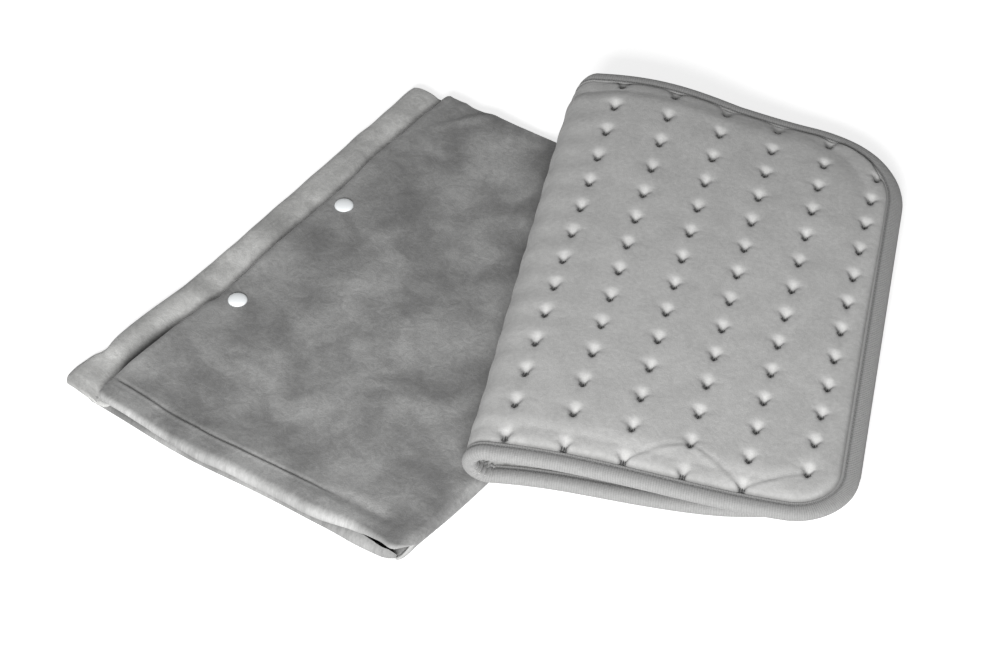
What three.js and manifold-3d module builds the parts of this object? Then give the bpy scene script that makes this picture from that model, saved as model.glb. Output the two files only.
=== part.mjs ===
// Heating pad folded in half, lying partly on its folded snap cover.
// Millimetres, +Z up. The pad's fold runs along Y and its halves reach from the fold towards +X.
// The frame's origin is the middle of the footprint, on the surface that the set lies on.
import * as THREE from 'three';
import { mergeVertices } from 'three/addons/utils/BufferGeometryUtils.js';
import ManifoldModule from 'manifold-3d';

const wasm = await ManifoldModule();
wasm.setup();

// Shared clearance between pieces that touch
const CLEARANCE = 0.3;

// Pad: overall sizes
const PAD_LENGTH = 330;
const PAD_OPEN_WIDTH = 440;
const PAD_CROWN = 8.5;
const PAD_SEWN = 4.8;
const CROWN_START = 12;
const CROWN_REACH = 20;
const FRONT_CORNER_RADIUS = 37;
const REAR_CORNER_RADIUS = 64;
const CORNER_EASE = 16;
const FOLD_GAP = 16.5;
const FOLD_REACH = 170;
const OPEN_GAP = 0.6;
const LOWER_SKEW = 7.5;

// Pad: how its edges lie, spread at the fold and drawn in at the open side
const EDGE_REACH = 110;
const FRONT_SPREAD = 7;
const FRONT_DRAW = 5.5;
const REAR_SPREAD = 1.5;
const REAR_DRAW = 3.4;
const OPEN_SPREAD = 1;
const OPEN_DRAW = 3;

// Pad: edge binding
const BINDING_WIDTH = 10;
const BINDING_THICKNESS = 1;

// Pad: sewn tufts
const TUFT_COLUMNS = 6;
const TUFT_ROWS = 14;
const TUFT_FOLD_MARGIN = 11;
const TUFT_EDGE_MARGIN = 23.7;
const TUFT_ROW_MARGIN = 14.7;
const TUFT_TURN = THREE.MathUtils.degToRad(-2.2);
const TUFT_SHIFT = -3;
const TUFT_RADIUS = 6.5;
const TUFT_DEPTH = 2;

// Pad: heating element
const CARRIER_THICKNESS = 0.6;
const CARRIER_MARGIN = 33;
const WIRE_DIAMETER = 1.6;
const WIRE_PLAY = 0.4;
const WIRE_TURN = 14;
const THERMOSTAT_LENGTH = 18;
const THERMOSTAT_WIDTH = 4.6;
const LEAD_DIAMETER = 1;
const LEAD_MARGIN = 27;

// Inlet socket on the rear edge of the lower half
const INLET_WIDTH = 22;
const INLET_HEIGHT = 7.6;
const INLET_REACH = 9.5;
const INLET_WALL = 1.2;
const NECK_WIDTH = 14;
const NECK_HEIGHT = 2.4;
const FLANGE_WIDTH = 30;
const FLANGE_DEPTH = 12;
const PIN_DIAMETER = 1.2;
const PIN_PITCH = 4.4;
const PIN_COUNT = 3;
const PIN_LENGTH = 2.8;
const PIN_BLOCK_DEPTH = 1.8;
const INLET_SHIFT = -26;

// Cover: a flat pouch folded in half
const COVER_LENGTH = 337;
const COVER_WIDTH = 238.5;
const CLOTH = 2.2;
const STRIP_WIDTH = 28.2;
const FLAP_WIDTH = 35;
const RAMP_WIDTH = 45;
const SIDE_ROLL = 18;
const SIDE_DROP = 0.3;
const SIDE_SWELL = 0.3;
const COVER_CORNER = 9;

// Snaps that close the cover's mouth
const SNAP_RADIUS = 6.2;
const SNAP_SPACING = 102.6;
const SNAP_SHIFT = -10.4;
const SNAP_EDGE_MARGIN = 10.5;
const SNAP_CAP_THICKNESS = 1.4;
const SNAP_CAP_SINK = 0.8;
const SNAP_DISC_RADIUS = 5.5;
const SNAP_STUD_BASE = 0.7;
const SNAP_SOCKET_THICKNESS = 2.0;
const SNAP_RECESS_DEPTH = 1.3;
const SNAP_HEAD_RADIUS = 2.1;
const SNAP_PLAY = 0.5;
const SNAP_POST_RADIUS = 1.2;

// How the cover lies to the pad, and how far the pad bridges before it meets the floor
const COVER_X = -78.4;
const COVER_Y = -28.1;
const COVER_TURN = THREE.MathUtils.degToRad(-24.3);
const DRAPE_START = 8;
const DRAPE_REACH = 200;

// Sizes that follow from the ones above
const ROLL_HALF = PAD_SEWN / 2 + CLEARANCE + BINDING_THICKNESS;
const CROWN_HALF = PAD_CROWN / 2;
const FOLD_RADIUS = CROWN_HALF + FOLD_GAP / 2;
const HALF_WIDTH = (PAD_OPEN_WIDTH - Math.PI * FOLD_RADIUS) / 2;
const HALF_LENGTH = PAD_LENGTH / 2;
const EDGE_INSET = BINDING_THICKNESS + CLEARANCE;
const COLUMN_PITCH = (HALF_WIDTH - TUFT_FOLD_MARGIN - TUFT_EDGE_MARGIN) / (TUFT_COLUMNS - 1);
const ROW_PITCH = (PAD_LENGTH - 2 * TUFT_ROW_MARGIN) / (TUFT_ROWS - 1);
const ZONE_HALF = (CARRIER_THICKNESS + WIRE_DIAMETER + WIRE_PLAY + 3 * CLEARANCE) / 2;
const CARRIER_OFFSET = ZONE_HALF - CLEARANCE - CARRIER_THICKNESS / 2;
const WIRE_OFFSET = -ZONE_HALF + CLEARANCE + (WIRE_DIAMETER + WIRE_PLAY) / 2;
const COVER_THICKNESS = 4 * CLOTH + 3 * CLEARANCE;
const PAD_ON_COVER = COVER_THICKNESS + CLEARANCE;
const TUFT_MIDDLE = TUFT_FOLD_MARGIN + (TUFT_COLUMNS - 1) / 2 * COLUMN_PITCH;
const INLET_X = TUFT_MIDDLE + INLET_SHIFT;

const clamp01 = (value) => Math.min(1, Math.max(0, value));
const smooth = (value) => {
  const s = clamp01(value);
  return s * s * (3 - 2 * s);
};

// Solid helpers: closed geometry to a solid and back, cutting, joining and keeping what lies inside
function toSolid(geometry) {
  const bare = geometry.clone();
  bare.deleteAttribute('normal');
  bare.deleteAttribute('uv');
  const merged = mergeVertices(bare, 1e-4);
  return new wasm.Manifold(new wasm.Mesh({
    numProp: 3,
    vertProperties: new Float32Array(merged.attributes.position.array),
    triVerts: new Uint32Array(merged.index.array),
  }));
}

function toGeometry(solid) {
  const mesh = solid.getMesh();
  const geometry = new THREE.BufferGeometry();
  geometry.setAttribute('position', new THREE.BufferAttribute(new Float32Array(mesh.vertProperties), 3));
  geometry.setIndex(new THREE.BufferAttribute(new Uint32Array(mesh.triVerts), 1));
  return geometry;
}

const cut = (geometry, ...tools) => toGeometry(
  tools.reduce((solid, tool) => solid.subtract(toSolid(tool)), toSolid(geometry)));
const join = (geometry, ...others) => toGeometry(
  others.reduce((solid, other) => solid.add(toSolid(other)), toSolid(geometry)));
const keepInside = (geometry, tool) => toGeometry(toSolid(geometry).intersect(toSolid(tool)));

// A geometry from points and triangles, turned to face outwards
function closedGeometry(points, triangles) {
  let volume = 0;
  for (const [a, b, c] of triangles) {
    volume += points[a].dot(points[b].clone().cross(points[c]));
  }
  const facing = volume < 0 ? triangles.map(([a, b, c]) => [a, c, b]) : triangles;
  const geometry = new THREE.BufferGeometry().setFromPoints(points);
  geometry.setIndex(facing.flat());
  return geometry;
}

// A closed solid through a row of rings that have the same number of points
function loft(rings) {
  const count = rings[0].length;
  const points = rings.flat();
  const triangles = [];
  for (let ring = 0; ring + 1 < rings.length; ring += 1) {
    for (let i = 0; i < count; i += 1) {
      const a = ring * count + i;
      const b = ring * count + (i + 1) % count;
      triangles.push([a, b, b + count], [a, b + count, a + count]);
    }
  }
  const flat = flattenRing(rings[0]);
  const last = (rings.length - 1) * count;
  for (const [a, b, c] of THREE.ShapeUtils.triangulateShape(flat, [])) {
    const turn = flat[b].clone().sub(flat[a]).cross(flat[c].clone().sub(flat[a]));
    const [p, q] = turn > 0 ? [b, c] : [c, b];
    triangles.push([a, q, p], [last + a, last + p, last + q]);
  }
  return closedGeometry(points, triangles);
}

// A ring's points in its own plane, in the order they have
function flattenRing(ring) {
  const normal = new THREE.Vector3();
  for (let i = 0; i < ring.length; i += 1) {
    const a = ring[i].clone().sub(ring[0]);
    const b = ring[(i + 1) % ring.length].clone().sub(ring[0]);
    normal.add(a.cross(b));
  }
  normal.normalize();
  const across = ring[1].clone().sub(ring[0]).normalize();
  const up = normal.clone().cross(across);
  return ring.map((p) => new THREE.Vector2(p.dot(across), p.dot(up)));
}

// A round rod through 3-D points, with the same number of sides at each
function rod(points, diameter, sides = 6) {
  const rings = points.map((point, i) => {
    const before = points[Math.max(0, i - 1)];
    const after = points[Math.min(points.length - 1, i + 1)];
    const along = after.clone().sub(before).normalize();
    const helper = Math.abs(along.y) > 0.9 ? new THREE.Vector3(0, 0, 1) : new THREE.Vector3(0, 1, 0);
    const side = Math.abs(along.z) > 0.2 ? helper : new THREE.Vector3(0, 0, 1);
    const across = side.clone().cross(along).normalize();
    const up = along.clone().cross(across);
    return Array.from({ length: sides }, (_, k) => {
      const angle = (k + 0.5) / sides * 2 * Math.PI;
      return point.clone()
        .addScaledVector(across, Math.cos(angle) * diameter / 2)
        .addScaledVector(up, Math.sin(angle) * diameter / 2);
    });
  });
  return loft(rings);
}

// A box from its low and high corners
function block(x0, y0, z0, x1, y1, z1) {
  return new THREE.BoxGeometry(x1 - x0, y1 - y0, z1 - z0)
    .translate((x0 + x1) / 2, (y0 + y1) / 2, (z0 + z1) / 2);
}

// A turned piece round a vertical axis, from [radius, height] pairs that start and end on the axis
function turned(pairs, segments = 18) {
  const outline = pairs.map(([r, z]) => new THREE.Vector2(r, z));
  return new THREE.LatheGeometry(outline, segments).rotateX(Math.PI / 2);
}

// Grid lines shared by every layer of the pad, so that layers that lie on each other have the same facets
const edgeLines = [0, BINDING_WIDTH, CROWN_START, CROWN_START + CROWN_REACH * 0.35, CROWN_START + CROWN_REACH];
const evenLines = (from, to, cells) => Array.from({ length: cells }, (_, i) => from + (to - from) * i / cells);
const innerEdge = edgeLines.at(-1);
const X_LINES = [
  ...evenLines(0, HALF_WIDTH - innerEdge, 5),
  ...edgeLines.map((d) => HALF_WIDTH - d).reverse(),
];
const Y_LINES = [
  ...edgeLines.slice(0, -1).map((d) => d - HALF_LENGTH),
  ...evenLines(innerEdge - HALF_LENGTH, HALF_LENGTH - innerEdge, 7),
  ...edgeLines.map((d) => HALF_LENGTH - d).reverse(),
];

const cellOf = (lines, value) => {
  let cell = 0;
  while (cell < lines.length - 2 && value > lines[cell + 1]) cell += 1;
  return cell;
};

// A function of the plan read from the shared facets
function onFacets(field) {
  const values = X_LINES.map((x) => Y_LINES.map((y) => field(x, y)));
  return (x, y) => {
    const i = cellOf(X_LINES, x);
    const j = cellOf(Y_LINES, y);
    const s = clamp01((x - X_LINES[i]) / (X_LINES[i + 1] - X_LINES[i]));
    const t = clamp01((y - Y_LINES[j]) / (Y_LINES[j + 1] - Y_LINES[j]));
    const near = values[i][j];
    const far = values[i + 1][j + 1];
    if (s >= t) return near + s * (values[i + 1][j] - near) + t * (far - values[i + 1][j]);
    return near + t * (values[i][j + 1] - near) + s * (far - values[i][j + 1]);
  };
}

// Straight chords that each rounded corner of a layer is made of
const CORNER_CHORDS = 5;

// The rear corner of the open side lies rounder than the front one
const cornerRadius = (y) => (y > 0 ? REAR_CORNER_RADIUS : FRONT_CORNER_RADIUS);

// Distance in from the pad's open edges, with the rounded corners, which an ease makes rounder still
function edgeDistance(x, y, ease = 0) {
  const dx = HALF_WIDTH - x;
  const dy = HALF_LENGTH - Math.abs(y);
  const radius = cornerRadius(y) + ease;
  if (dx > radius || dy > radius) return Math.min(dx, dy);
  return radius - Math.hypot(radius - dx, radius - dy);
}

// Height of the surface that the pad lies on: the cover, then a slope down to the floor
function bedHeight(x, y) {
  const dx = x - COVER_X;
  const dy = y - COVER_Y;
  const pastFold = dx * Math.cos(COVER_TURN) + dy * Math.sin(COVER_TURN) - COVER_WIDTH / 2;
  const pastSide = dy * Math.cos(COVER_TURN) - dx * Math.sin(COVER_TURN) - COVER_LENGTH / 2;
  const beyond = Math.hypot(Math.max(pastFold, 0), Math.max(pastSide, 0)) - DRAPE_START;
  return PAD_ON_COVER * (1 - smooth(beyond / DRAPE_REACH));
}

// Half thickness of one half of the pad, and with the binding counted in
const halfAt = (x, y) => {
  const rise = clamp01((edgeDistance(x, y, CORNER_EASE) - CROWN_START) / CROWN_REACH);
  return PAD_SEWN / 2 + (CROWN_HALF - PAD_SEWN / 2) * Math.sin(rise * Math.PI / 2);
};
const stackAt = (x, y) => Math.max(halfAt(x, y), ROLL_HALF);
const gapAt = (x) => OPEN_GAP + (FOLD_GAP - OPEN_GAP) * (1 - smooth(x / FOLD_REACH));
const zoneAt = (x, y) => {
  const open = smooth((edgeDistance(x, y) - CROWN_START) / (CROWN_REACH * 0.3));
  return CLEARANCE / 2 + (ZONE_HALF - CLEARANCE / 2) * open;
};

// The fold is a little out of square: the lower half's open edge lies further to the rear
const skewAt = (x) => LOWER_SKEW * Math.sin(clamp01(x / HALF_WIDTH) * Math.PI / 2);

const half = onFacets(halfAt);
const zone = onFacets(zoneAt);
const lowerMid = onFacets((x, y) => bedHeight(x, y + skewAt(x)) + stackAt(x, y));
const upperMid = onFacets((x, y) => {
  const below = Math.max(stackAt(x, y), stackAt(x, y - skewAt(x)));
  return bedHeight(x, y) + 2 * below + gapAt(x) + stackAt(x, y);
});

// A layer of one half: between two heights over the shared facets, cut to an outline set in from the edge
function layer(low, high, inset) {
  const points = [];
  const rows = Y_LINES.length;
  for (const height of [low, high]) {
    for (const x of X_LINES) {
      for (const y of Y_LINES) points.push(new THREE.Vector3(x, y, height(x, y)));
    }
  }
  const upper = X_LINES.length * rows;
  const triangles = [];
  for (let i = 0; i + 1 < X_LINES.length; i += 1) {
    for (let j = 0; j + 1 < rows; j += 1) {
      const a = i * rows + j;
      const b = a + rows;
      triangles.push([a, b + 1, b], [a, a + 1, b + 1]);
      triangles.push([upper + a, upper + b, upper + b + 1], [upper + a, upper + b + 1, upper + a + 1]);
    }
  }
  const rim = [
    ...X_LINES.map((_, i) => i * rows),
    ...Y_LINES.map((_, j) => (X_LINES.length - 1) * rows + j).slice(1),
    ...X_LINES.map((_, i) => i * rows + rows - 1).reverse().slice(1),
    ...Y_LINES.map((_, j) => j).reverse().slice(1, -1),
  ];
  rim.forEach((a, n) => {
    const b = rim[(n + 1) % rim.length];
    triangles.push([a, b, upper + b], [a, upper + b, upper + a]);
  });
  return keepInside(closedGeometry(points, triangles), outlinePrism(inset));
}

// The pad's plan set in from its open edges, as a tall prism that starts at the fold
function outlinePrism(inset) {
  const right = HALF_WIDTH - inset;
  const side = HALF_LENGTH - inset;
  const [front, rear] = [-1, 1].map((end) => Math.max(cornerRadius(end) - inset, 4));
  const shape = new THREE.Shape();
  shape.moveTo(CLEARANCE, -side);
  shape.lineTo(right - front, -side);
  shape.absarc(right - front, front - side, front, -Math.PI / 2, 0);
  shape.lineTo(right, side - rear);
  shape.absarc(right - rear, side - rear, rear, 0, Math.PI / 2);
  shape.lineTo(CLEARANCE, side);
  return new THREE.ExtrudeGeometry(shape, { depth: 200, bevelEnabled: false, curveSegments: CORNER_CHORDS })
    .translate(0, 0, -50);
}

// The binding's section as [distance in from the edge, height from the middle]
const bindingSection = () => {
  const inner = PAD_SEWN / 2 + CLEARANCE;
  const outer = ROLL_HALF;
  const crown = [[BINDING_THICKNESS * 1.5, outer], [BINDING_THICKNESS * 0.3, outer * 0.8]];
  return [
    [BINDING_WIDTH, inner], [BINDING_WIDTH, outer], ...crown, [0, 0],
    ...crown.map(([d, h]) => [d, -h]).reverse(), [BINDING_WIDTH, -outer], [BINDING_WIDTH, -inner],
    [BINDING_THICKNESS, -inner], [BINDING_THICKNESS, inner],
  ];
};

// The binding round the open edges of one half, with a ring on every grid line and round ones at the corners
function bindingRound(mid) {
  const straight = (end) => {
    const stop = HALF_WIDTH - cornerRadius(end) - 1;
    return [CLEARANCE, ...X_LINES.filter((x) => x > 1 && x < stop)].map((x) => [x, end * HALF_LENGTH, 0, -end]);
  };
  const edge = Y_LINES.filter((y) => Math.abs(y) < HALF_LENGTH - cornerRadius(y) - 1);
  const cornerSteps = 2 * CORNER_CHORDS;
  const corner = (end) => Array.from({ length: cornerSteps + 1 }, (_, i) => {
    const radius = cornerRadius(end);
    const angle = (i / cornerSteps + (end - 1) / 2) * Math.PI / 2;
    const [outX, outY] = [Math.cos(angle), Math.sin(angle)];
    return [HALF_WIDTH - radius * (1 - outX), end * (HALF_LENGTH - radius) + radius * outY, -outX, -outY];
  });
  const path = [
    ...straight(-1),
    ...corner(-1),
    ...edge.map((y) => [HALF_WIDTH, y, -1, 0]),
    ...corner(1),
    ...straight(1).reverse(),
  ];
  return loft(path.map(([px, py, inX, inY]) => bindingSection().map(([d, h]) => {
    const x = px + inX * d;
    const y = py + inY * d;
    return new THREE.Vector3(x, y, mid(x, y) + h);
  })));
}

// The fold: a half round section that joins the halves. Radii are counted from the middle of its thickness.
const foldMiddle = (y) => bedHeight(0, y) + 2 * stackAt(0, y) + FOLD_GAP / 2;
const foldRadius = (y) => stackAt(0, y) + FOLD_GAP / 2;
const foldPoint = (turn, offset, y) => {
  const angle = -Math.PI / 2 - turn * Math.PI;
  const radius = foldRadius(y) + offset;
  return new THREE.Vector3(radius * Math.cos(angle), y, foldMiddle(y) + radius * Math.sin(angle));
};

function foldLayer(low, high, margin) {
  const steps = 8;
  const turns = Array.from({ length: steps + 1 }, (_, i) => i / steps);
  const side = HALF_LENGTH - margin;
  const lines = [-side, ...Y_LINES.filter((y) => Math.abs(y) < side - 1), side];
  return loft(lines.map((y) => [
    ...turns.map((turn) => foldPoint(turn, high(y), y)),
    ...turns.map((turn) => foldPoint(turn, low(y), y)).reverse(),
  ]));
}

function foldBinding(side) {
  const steps = 10;
  const rings = Array.from({ length: steps + 1 }, (_, i) => bindingSection().map(
    ([d, h]) => foldPoint(i / steps, h, side * (HALF_LENGTH - d))));
  return loft(rings);
}

// Sewn tufts: dimples sunk into the outer face of the upper half, in a grid that is turned a little.
// The outermost rows stop at the binding's seam.
const tuftPlace = (column, row) => {
  const across = (column - (TUFT_COLUMNS - 1) / 2) * COLUMN_PITCH;
  const along = (row - (TUFT_ROWS - 1) / 2) * ROW_PITCH;
  const seam = HALF_LENGTH - BINDING_WIDTH - TUFT_RADIUS / 2;
  const y = TUFT_SHIFT + across * Math.sin(TUFT_TURN) + along * Math.cos(TUFT_TURN);
  return [
    TUFT_MIDDLE + across * Math.cos(TUFT_TURN) - along * Math.sin(TUFT_TURN),
    THREE.MathUtils.clamp(y, -seam, seam),
  ];
};
function tuftDimples() {
  const spread = 2;
  const dimples = [];
  for (let column = 0; column < TUFT_COLUMNS; column += 1) {
    for (let row = 0; row < TUFT_ROWS; row += 1) {
      const [x, y] = tuftPlace(column, row);
      const top = upperMid(x, y) + half(x, y);
      const depth = Math.min(TUFT_DEPTH, half(x, y) - zone(x, y) - CLEARANCE);
      if (edgeDistance(x, y) < EDGE_INSET + TUFT_RADIUS) continue;
      const cone = new THREE.ConeGeometry(TUFT_RADIUS * spread, depth * spread, 6)
        .rotateX(-Math.PI / 2)
        .translate(x, y, top - depth + depth * spread / 2);
      dimples.push(toSolid(cone));
    }
  }
  return toGeometry(wasm.Manifold.union(dimples));
}

// A face with its dimples, without the facet points that are left over
const tufted = (face) => toGeometry(toSolid(cut(face, tuftDimples())).simplify(CLEARANCE / 4));

// The heating wire's plan: runs between the tuft columns, and a turn out to the fold
const channel = (n) => TUFT_FOLD_MARGIN + (n + 0.5) * COLUMN_PITCH;
const wireEnd = HALF_LENGTH - CARRIER_MARGIN - WIRE_DIAMETER - COLUMN_PITCH / 2;
const linkY = WIRE_TURN - wireEnd;
function wirePlan() {
  const plan = [];
  const runs = TUFT_COLUMNS - 1;
  const turnSteps = 6;
  for (let n = runs - 1; n >= 0; n -= 1) {
    const way = (runs - 1 - n) % 2 === 0 ? -1 : 1;
    const stop = n === 0 ? -linkY - WIRE_TURN : wireEnd;
    const lines = Y_LINES.filter((y) => y * way > 1 - wireEnd && y * way < stop - 1);
    for (const y of [-way * wireEnd, ...(way > 0 ? lines : lines.reverse()), way * stop]) {
      plan.push([channel(n), y]);
    }
    for (let i = 1; i < turnSteps && n > 0; i += 1) {
      const angle = i / turnSteps * Math.PI;
      const reach = COLUMN_PITCH / 2;
      plan.push([channel(n) - reach + reach * Math.cos(angle), way * (wireEnd + reach * Math.sin(angle))]);
    }
  }
  const startY = plan.at(-1)[1];
  for (let i = 1; i <= 4; i += 1) {
    const angle = i / 4 * Math.PI / 2;
    plan.push([channel(0) - WIRE_TURN * (1 - Math.cos(angle)), startY - WIRE_TURN * Math.sin(angle)]);
  }
  plan.push([CLEARANCE, startY - WIRE_TURN]);
  return plan;
}

const wireIn = (mid, way) => rod(
  wirePlan().map(([x, y]) => new THREE.Vector3(x, y, mid(x, y) + way * WIRE_OFFSET)), WIRE_DIAMETER);

function foldWire() {
  const y = wirePlan().at(-1)[1];
  const steps = 10;
  return rod(Array.from({ length: steps + 1 }, (_, i) => foldPoint(i / steps, WIRE_OFFSET, y)), WIRE_DIAMETER);
}

// Overheat thermostat, laid in the rear margin beside the carrier
const thermostatX = INLET_X - FLANGE_WIDTH - THERMOSTAT_LENGTH / 2;
const leadY = HALF_LENGTH - LEAD_MARGIN;
function thermostat(mid) {
  const thickness = 2 * (ZONE_HALF - CLEARANCE);
  const body = new THREE.BoxGeometry(THERMOSTAT_LENGTH, THERMOSTAT_WIDTH, thickness, 3, 2, 1)
    .translate(thermostatX, leadY, 0);
  const place = body.attributes.position;
  for (let i = 0; i < place.count; i += 1) {
    place.setZ(i, place.getZ(i) + mid(place.getX(i), place.getY(i)));
  }
  return body;
}

// Inlet: two shells that meet at its middle height, a pin block, pins and a pair of leads
const inletZ = lowerMid(INLET_X, HALF_LENGTH) + CLEARANCE;
const inletFace = HALF_LENGTH + INLET_REACH;
const inletBack = HALF_LENGTH + INLET_WALL;
const neckHalf = NECK_HEIGHT / 2;
const flangeFront = HALF_LENGTH - BINDING_WIDTH - 1;
const flangeBack = flangeFront - FLANGE_DEPTH;
const mouthHalf = INLET_HEIGHT / 2 - INLET_WALL;
const mouthSide = INLET_WIDTH / 2 - 2 * INLET_WALL;
const leadX = (side) => INLET_X + side * PIN_PITCH;
const inletBox = (halfWidth, y0, y1, z0, z1) => block(
  INLET_X - halfWidth, y0, inletZ + z0, INLET_X + halfWidth, y1, inletZ + z1);
const alongY = (x, y0, y1, diameter, sides) => new THREE.CylinderGeometry(
  diameter / 2, diameter / 2, y1 - y0, sides).translate(x, (y0 + y1) / 2, inletZ);

function inletShell(way) {
  const z0 = way < 0 ? -INLET_HEIGHT / 2 : CLEARANCE / 2;
  const z1 = way < 0 ? -CLEARANCE / 2 : INLET_HEIGHT / 2;
  const thin = [Math.max(z0, -neckHalf), Math.min(z1, neckHalf)];
  const body = inletBox(INLET_WIDTH / 2, HALF_LENGTH + CLEARANCE, inletFace, z0, z1);
  const neck = inletBox(NECK_WIDTH / 2, flangeFront - 1, HALF_LENGTH + 1, ...thin);
  const flange = inletBox(FLANGE_WIDTH / 2, flangeBack, flangeFront, ...thin);
  const mouth = inletBox(mouthSide, inletBack, inletFace + 1, -mouthHalf, mouthHalf);
  const grooves = [-1, 1].map((side) => alongY(
    leadX(side), flangeBack - 1, inletBack + 1, LEAD_DIAMETER + 2 * CLEARANCE, 8));
  return cut(join(body, neck, flange), mouth, ...grooves);
}

const pinX = (n) => INLET_X + (n - (PIN_COUNT - 1) / 2) * PIN_PITCH;
const pinBlockBack = inletBack + CLEARANCE;
function pinBlock() {
  const body = inletBox(mouthSide - CLEARANCE, pinBlockBack, pinBlockBack + PIN_BLOCK_DEPTH,
    CLEARANCE - mouthHalf, mouthHalf - CLEARANCE);
  const holes = Array.from({ length: PIN_COUNT }, (_, n) => alongY(
    pinX(n), pinBlockBack - 1, pinBlockBack + PIN_BLOCK_DEPTH + 1, PIN_DIAMETER + 2 * CLEARANCE, 10));
  return cut(body, ...holes);
}

const pin = (n) => alongY(pinX(n), pinBlockBack, pinBlockBack + PIN_LENGTH, PIN_DIAMETER, 10);

function lead(side) {
  const x = leadX(side);
  const plan = [[x, inletBack - CLEARANCE, inletZ], [x, flangeBack, inletZ]];
  plan.push([x, leadY + 3, lowerMid(x, leadY + 3)]);
  const turn = x + side * 3;
  plan.push([turn, leadY, lowerMid(turn, leadY)]);
  if (side < 0) {
    const end = thermostatX + THERMOSTAT_LENGTH / 2 + CLEARANCE;
    plan.push([end, leadY, lowerMid(end, leadY)]);
  } else {
    const far = channel(TUFT_COLUMNS - 2);
    for (const share of [0.35, 0.7]) {
      const step = THREE.MathUtils.lerp(turn, far, share);
      plan.push([step, leadY, lowerMid(step, leadY)]);
    }
    plan.push([far - 4, leadY, lowerMid(far - 4, leadY)]);
    plan.push([far, leadY - 4, lowerMid(far, leadY - 4)]);
    const end = wireEnd + CLEARANCE;
    plan.push([far, end, lowerMid(far, end) - WIRE_OFFSET]);
  }
  return rod(plan.map(([px, py, pz]) => new THREE.Vector3(px, py, pz)), LEAD_DIAMETER);
}

// What the lower half leaves free for the inlet's neck and flange
const inletPockets = () => [
  inletBox(NECK_WIDTH / 2 + CLEARANCE, flangeFront - 1, HALF_LENGTH + 20, -neckHalf - CLEARANCE,
    neckHalf + CLEARANCE),
  inletBox(FLANGE_WIDTH / 2 + CLEARANCE, flangeBack - CLEARANCE, flangeFront + CLEARANCE,
    -neckHalf - CLEARANCE, neckHalf + CLEARANCE),
];

// Cover: sections along its width are lofted along its length. Heights count from the floor.
const HINGE = STRIP_WIDTH + FLAP_WIDTH;
const SNAP_STACK = SNAP_STUD_BASE + SNAP_SOCKET_THICKNESS + 3 * CLEARANCE;
const backTop = 3 * CLOTH + 2 * CLEARANCE;
const flapLow = backTop + SNAP_STACK;
const flapTop = flapLow + CLOTH;
const outerFold = COVER_THICKNESS / 2;
const innerFold = outerFold - CLOTH - CLEARANCE;

// The rear side is drawn down. The front side swells into a soft roll behind the flap and rounds off.
const sideShare = (p, q) => {
  const inward = COVER_LENGTH / 2 - Math.abs(q);
  if (q > 0) return 1 - SIDE_DROP * (1 - smooth(inward / SIDE_ROLL));
  const behind = smooth((p - HINGE) / RAMP_WIDTH);
  const swell = SIDE_SWELL * behind * (1 - smooth((inward - SIDE_ROLL / 2) / (1.5 * SIDE_ROLL)));
  return (1 + swell) * (1 - SIDE_DROP * (1 - smooth(inward / (SIDE_ROLL / 2))));
};
const mouthInset = (q) => {
  const near = clamp01(1 - (COVER_LENGTH / 2 - Math.abs(q)) / COVER_CORNER);
  return COVER_CORNER * (1 - Math.sqrt(1 - near * near));
};
const coverPoint = (p, q, z) => new THREE.Vector3(
  p + mouthInset(q) * Math.max(0, 1 - p / STRIP_WIDTH) - COVER_WIDTH / 2, q, z * sideShare(p, q));

function coverLines(margin = 0) {
  const side = COVER_LENGTH / 2 - margin;
  const front = [0, 0.15, 0.35, 0.6, 1, 1.5, 2].map((share) => share * SIDE_ROLL - side);
  const rear = [1, 0.6, 0.25, 0].map((share) => side - share * SIDE_ROLL);
  return [...front, ...rear];
}

// Points of a half circle at the cover's fold, from its low end to its high end
function foldArc(radius, middle) {
  const steps = 8;
  return Array.from({ length: steps + 1 }, (_, i) => {
    const angle = -Math.PI / 2 + i / steps * Math.PI;
    return [COVER_WIDTH - outerFold + radius * Math.cos(angle), middle + radius * Math.sin(angle)];
  });
}

const ramp = (steps = 4) => Array.from({ length: steps + 1 }, (_, i) => {
  const p = HINGE + CLEARANCE + (steps - i) / steps * RAMP_WIDTH;
  return [p, (flapTop - COVER_THICKNESS) * smooth(i / steps)];
});

const coverLoft = (section) => loft(coverLines().map((q) => section.map(([p, z]) => coverPoint(p, q, z))));

function coverOuterPanel() {
  const closedEnd = COVER_CORNER;
  return coverLoft([
    [closedEnd, CLOTH], [closedEnd, 0], ...foldArc(outerFold, outerFold),
    ...ramp().map(([p, rise]) => [p, COVER_THICKNESS + rise]),
    ...ramp().reverse().map(([p, rise]) => [p, COVER_THICKNESS - CLOTH + rise]),
    ...foldArc(outerFold - CLOTH, outerFold).reverse(),
  ]);
}

function coverInnerPanel() {
  const closedEnd = COVER_CORNER;
  const low = CLOTH + CLEARANCE;
  const body = coverLoft([
    [closedEnd, low + CLOTH], [closedEnd, low], ...foldArc(innerFold, outerFold),
    [CLOTH / 3, backTop], [0, backTop - CLOTH / 2], [CLOTH / 3, backTop - CLOTH],
    ...foldArc(innerFold - CLOTH, outerFold).reverse(),
  ]);
  const holes = snapPlaces.flatMap((q) => [
    placed(turned([[0, 0], [SNAP_RADIUS + CLEARANCE, 0],
      [SNAP_RADIUS + CLEARANCE, SNAP_CAP_THICKNESS + CLEARANCE], [0, SNAP_CAP_THICKNESS + CLEARANCE]])
      .translate(0, 0, backTop - CLOTH), q),
    placed(turned([[0, 0], [SNAP_POST_RADIUS + CLEARANCE, 0], [SNAP_POST_RADIUS + CLEARANCE, CLOTH + 2],
      [0, CLOTH + 2]]).translate(0, 0, backTop - CLOTH - 1), q),
  ]);
  return cut(body, ...holes);
}

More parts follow.
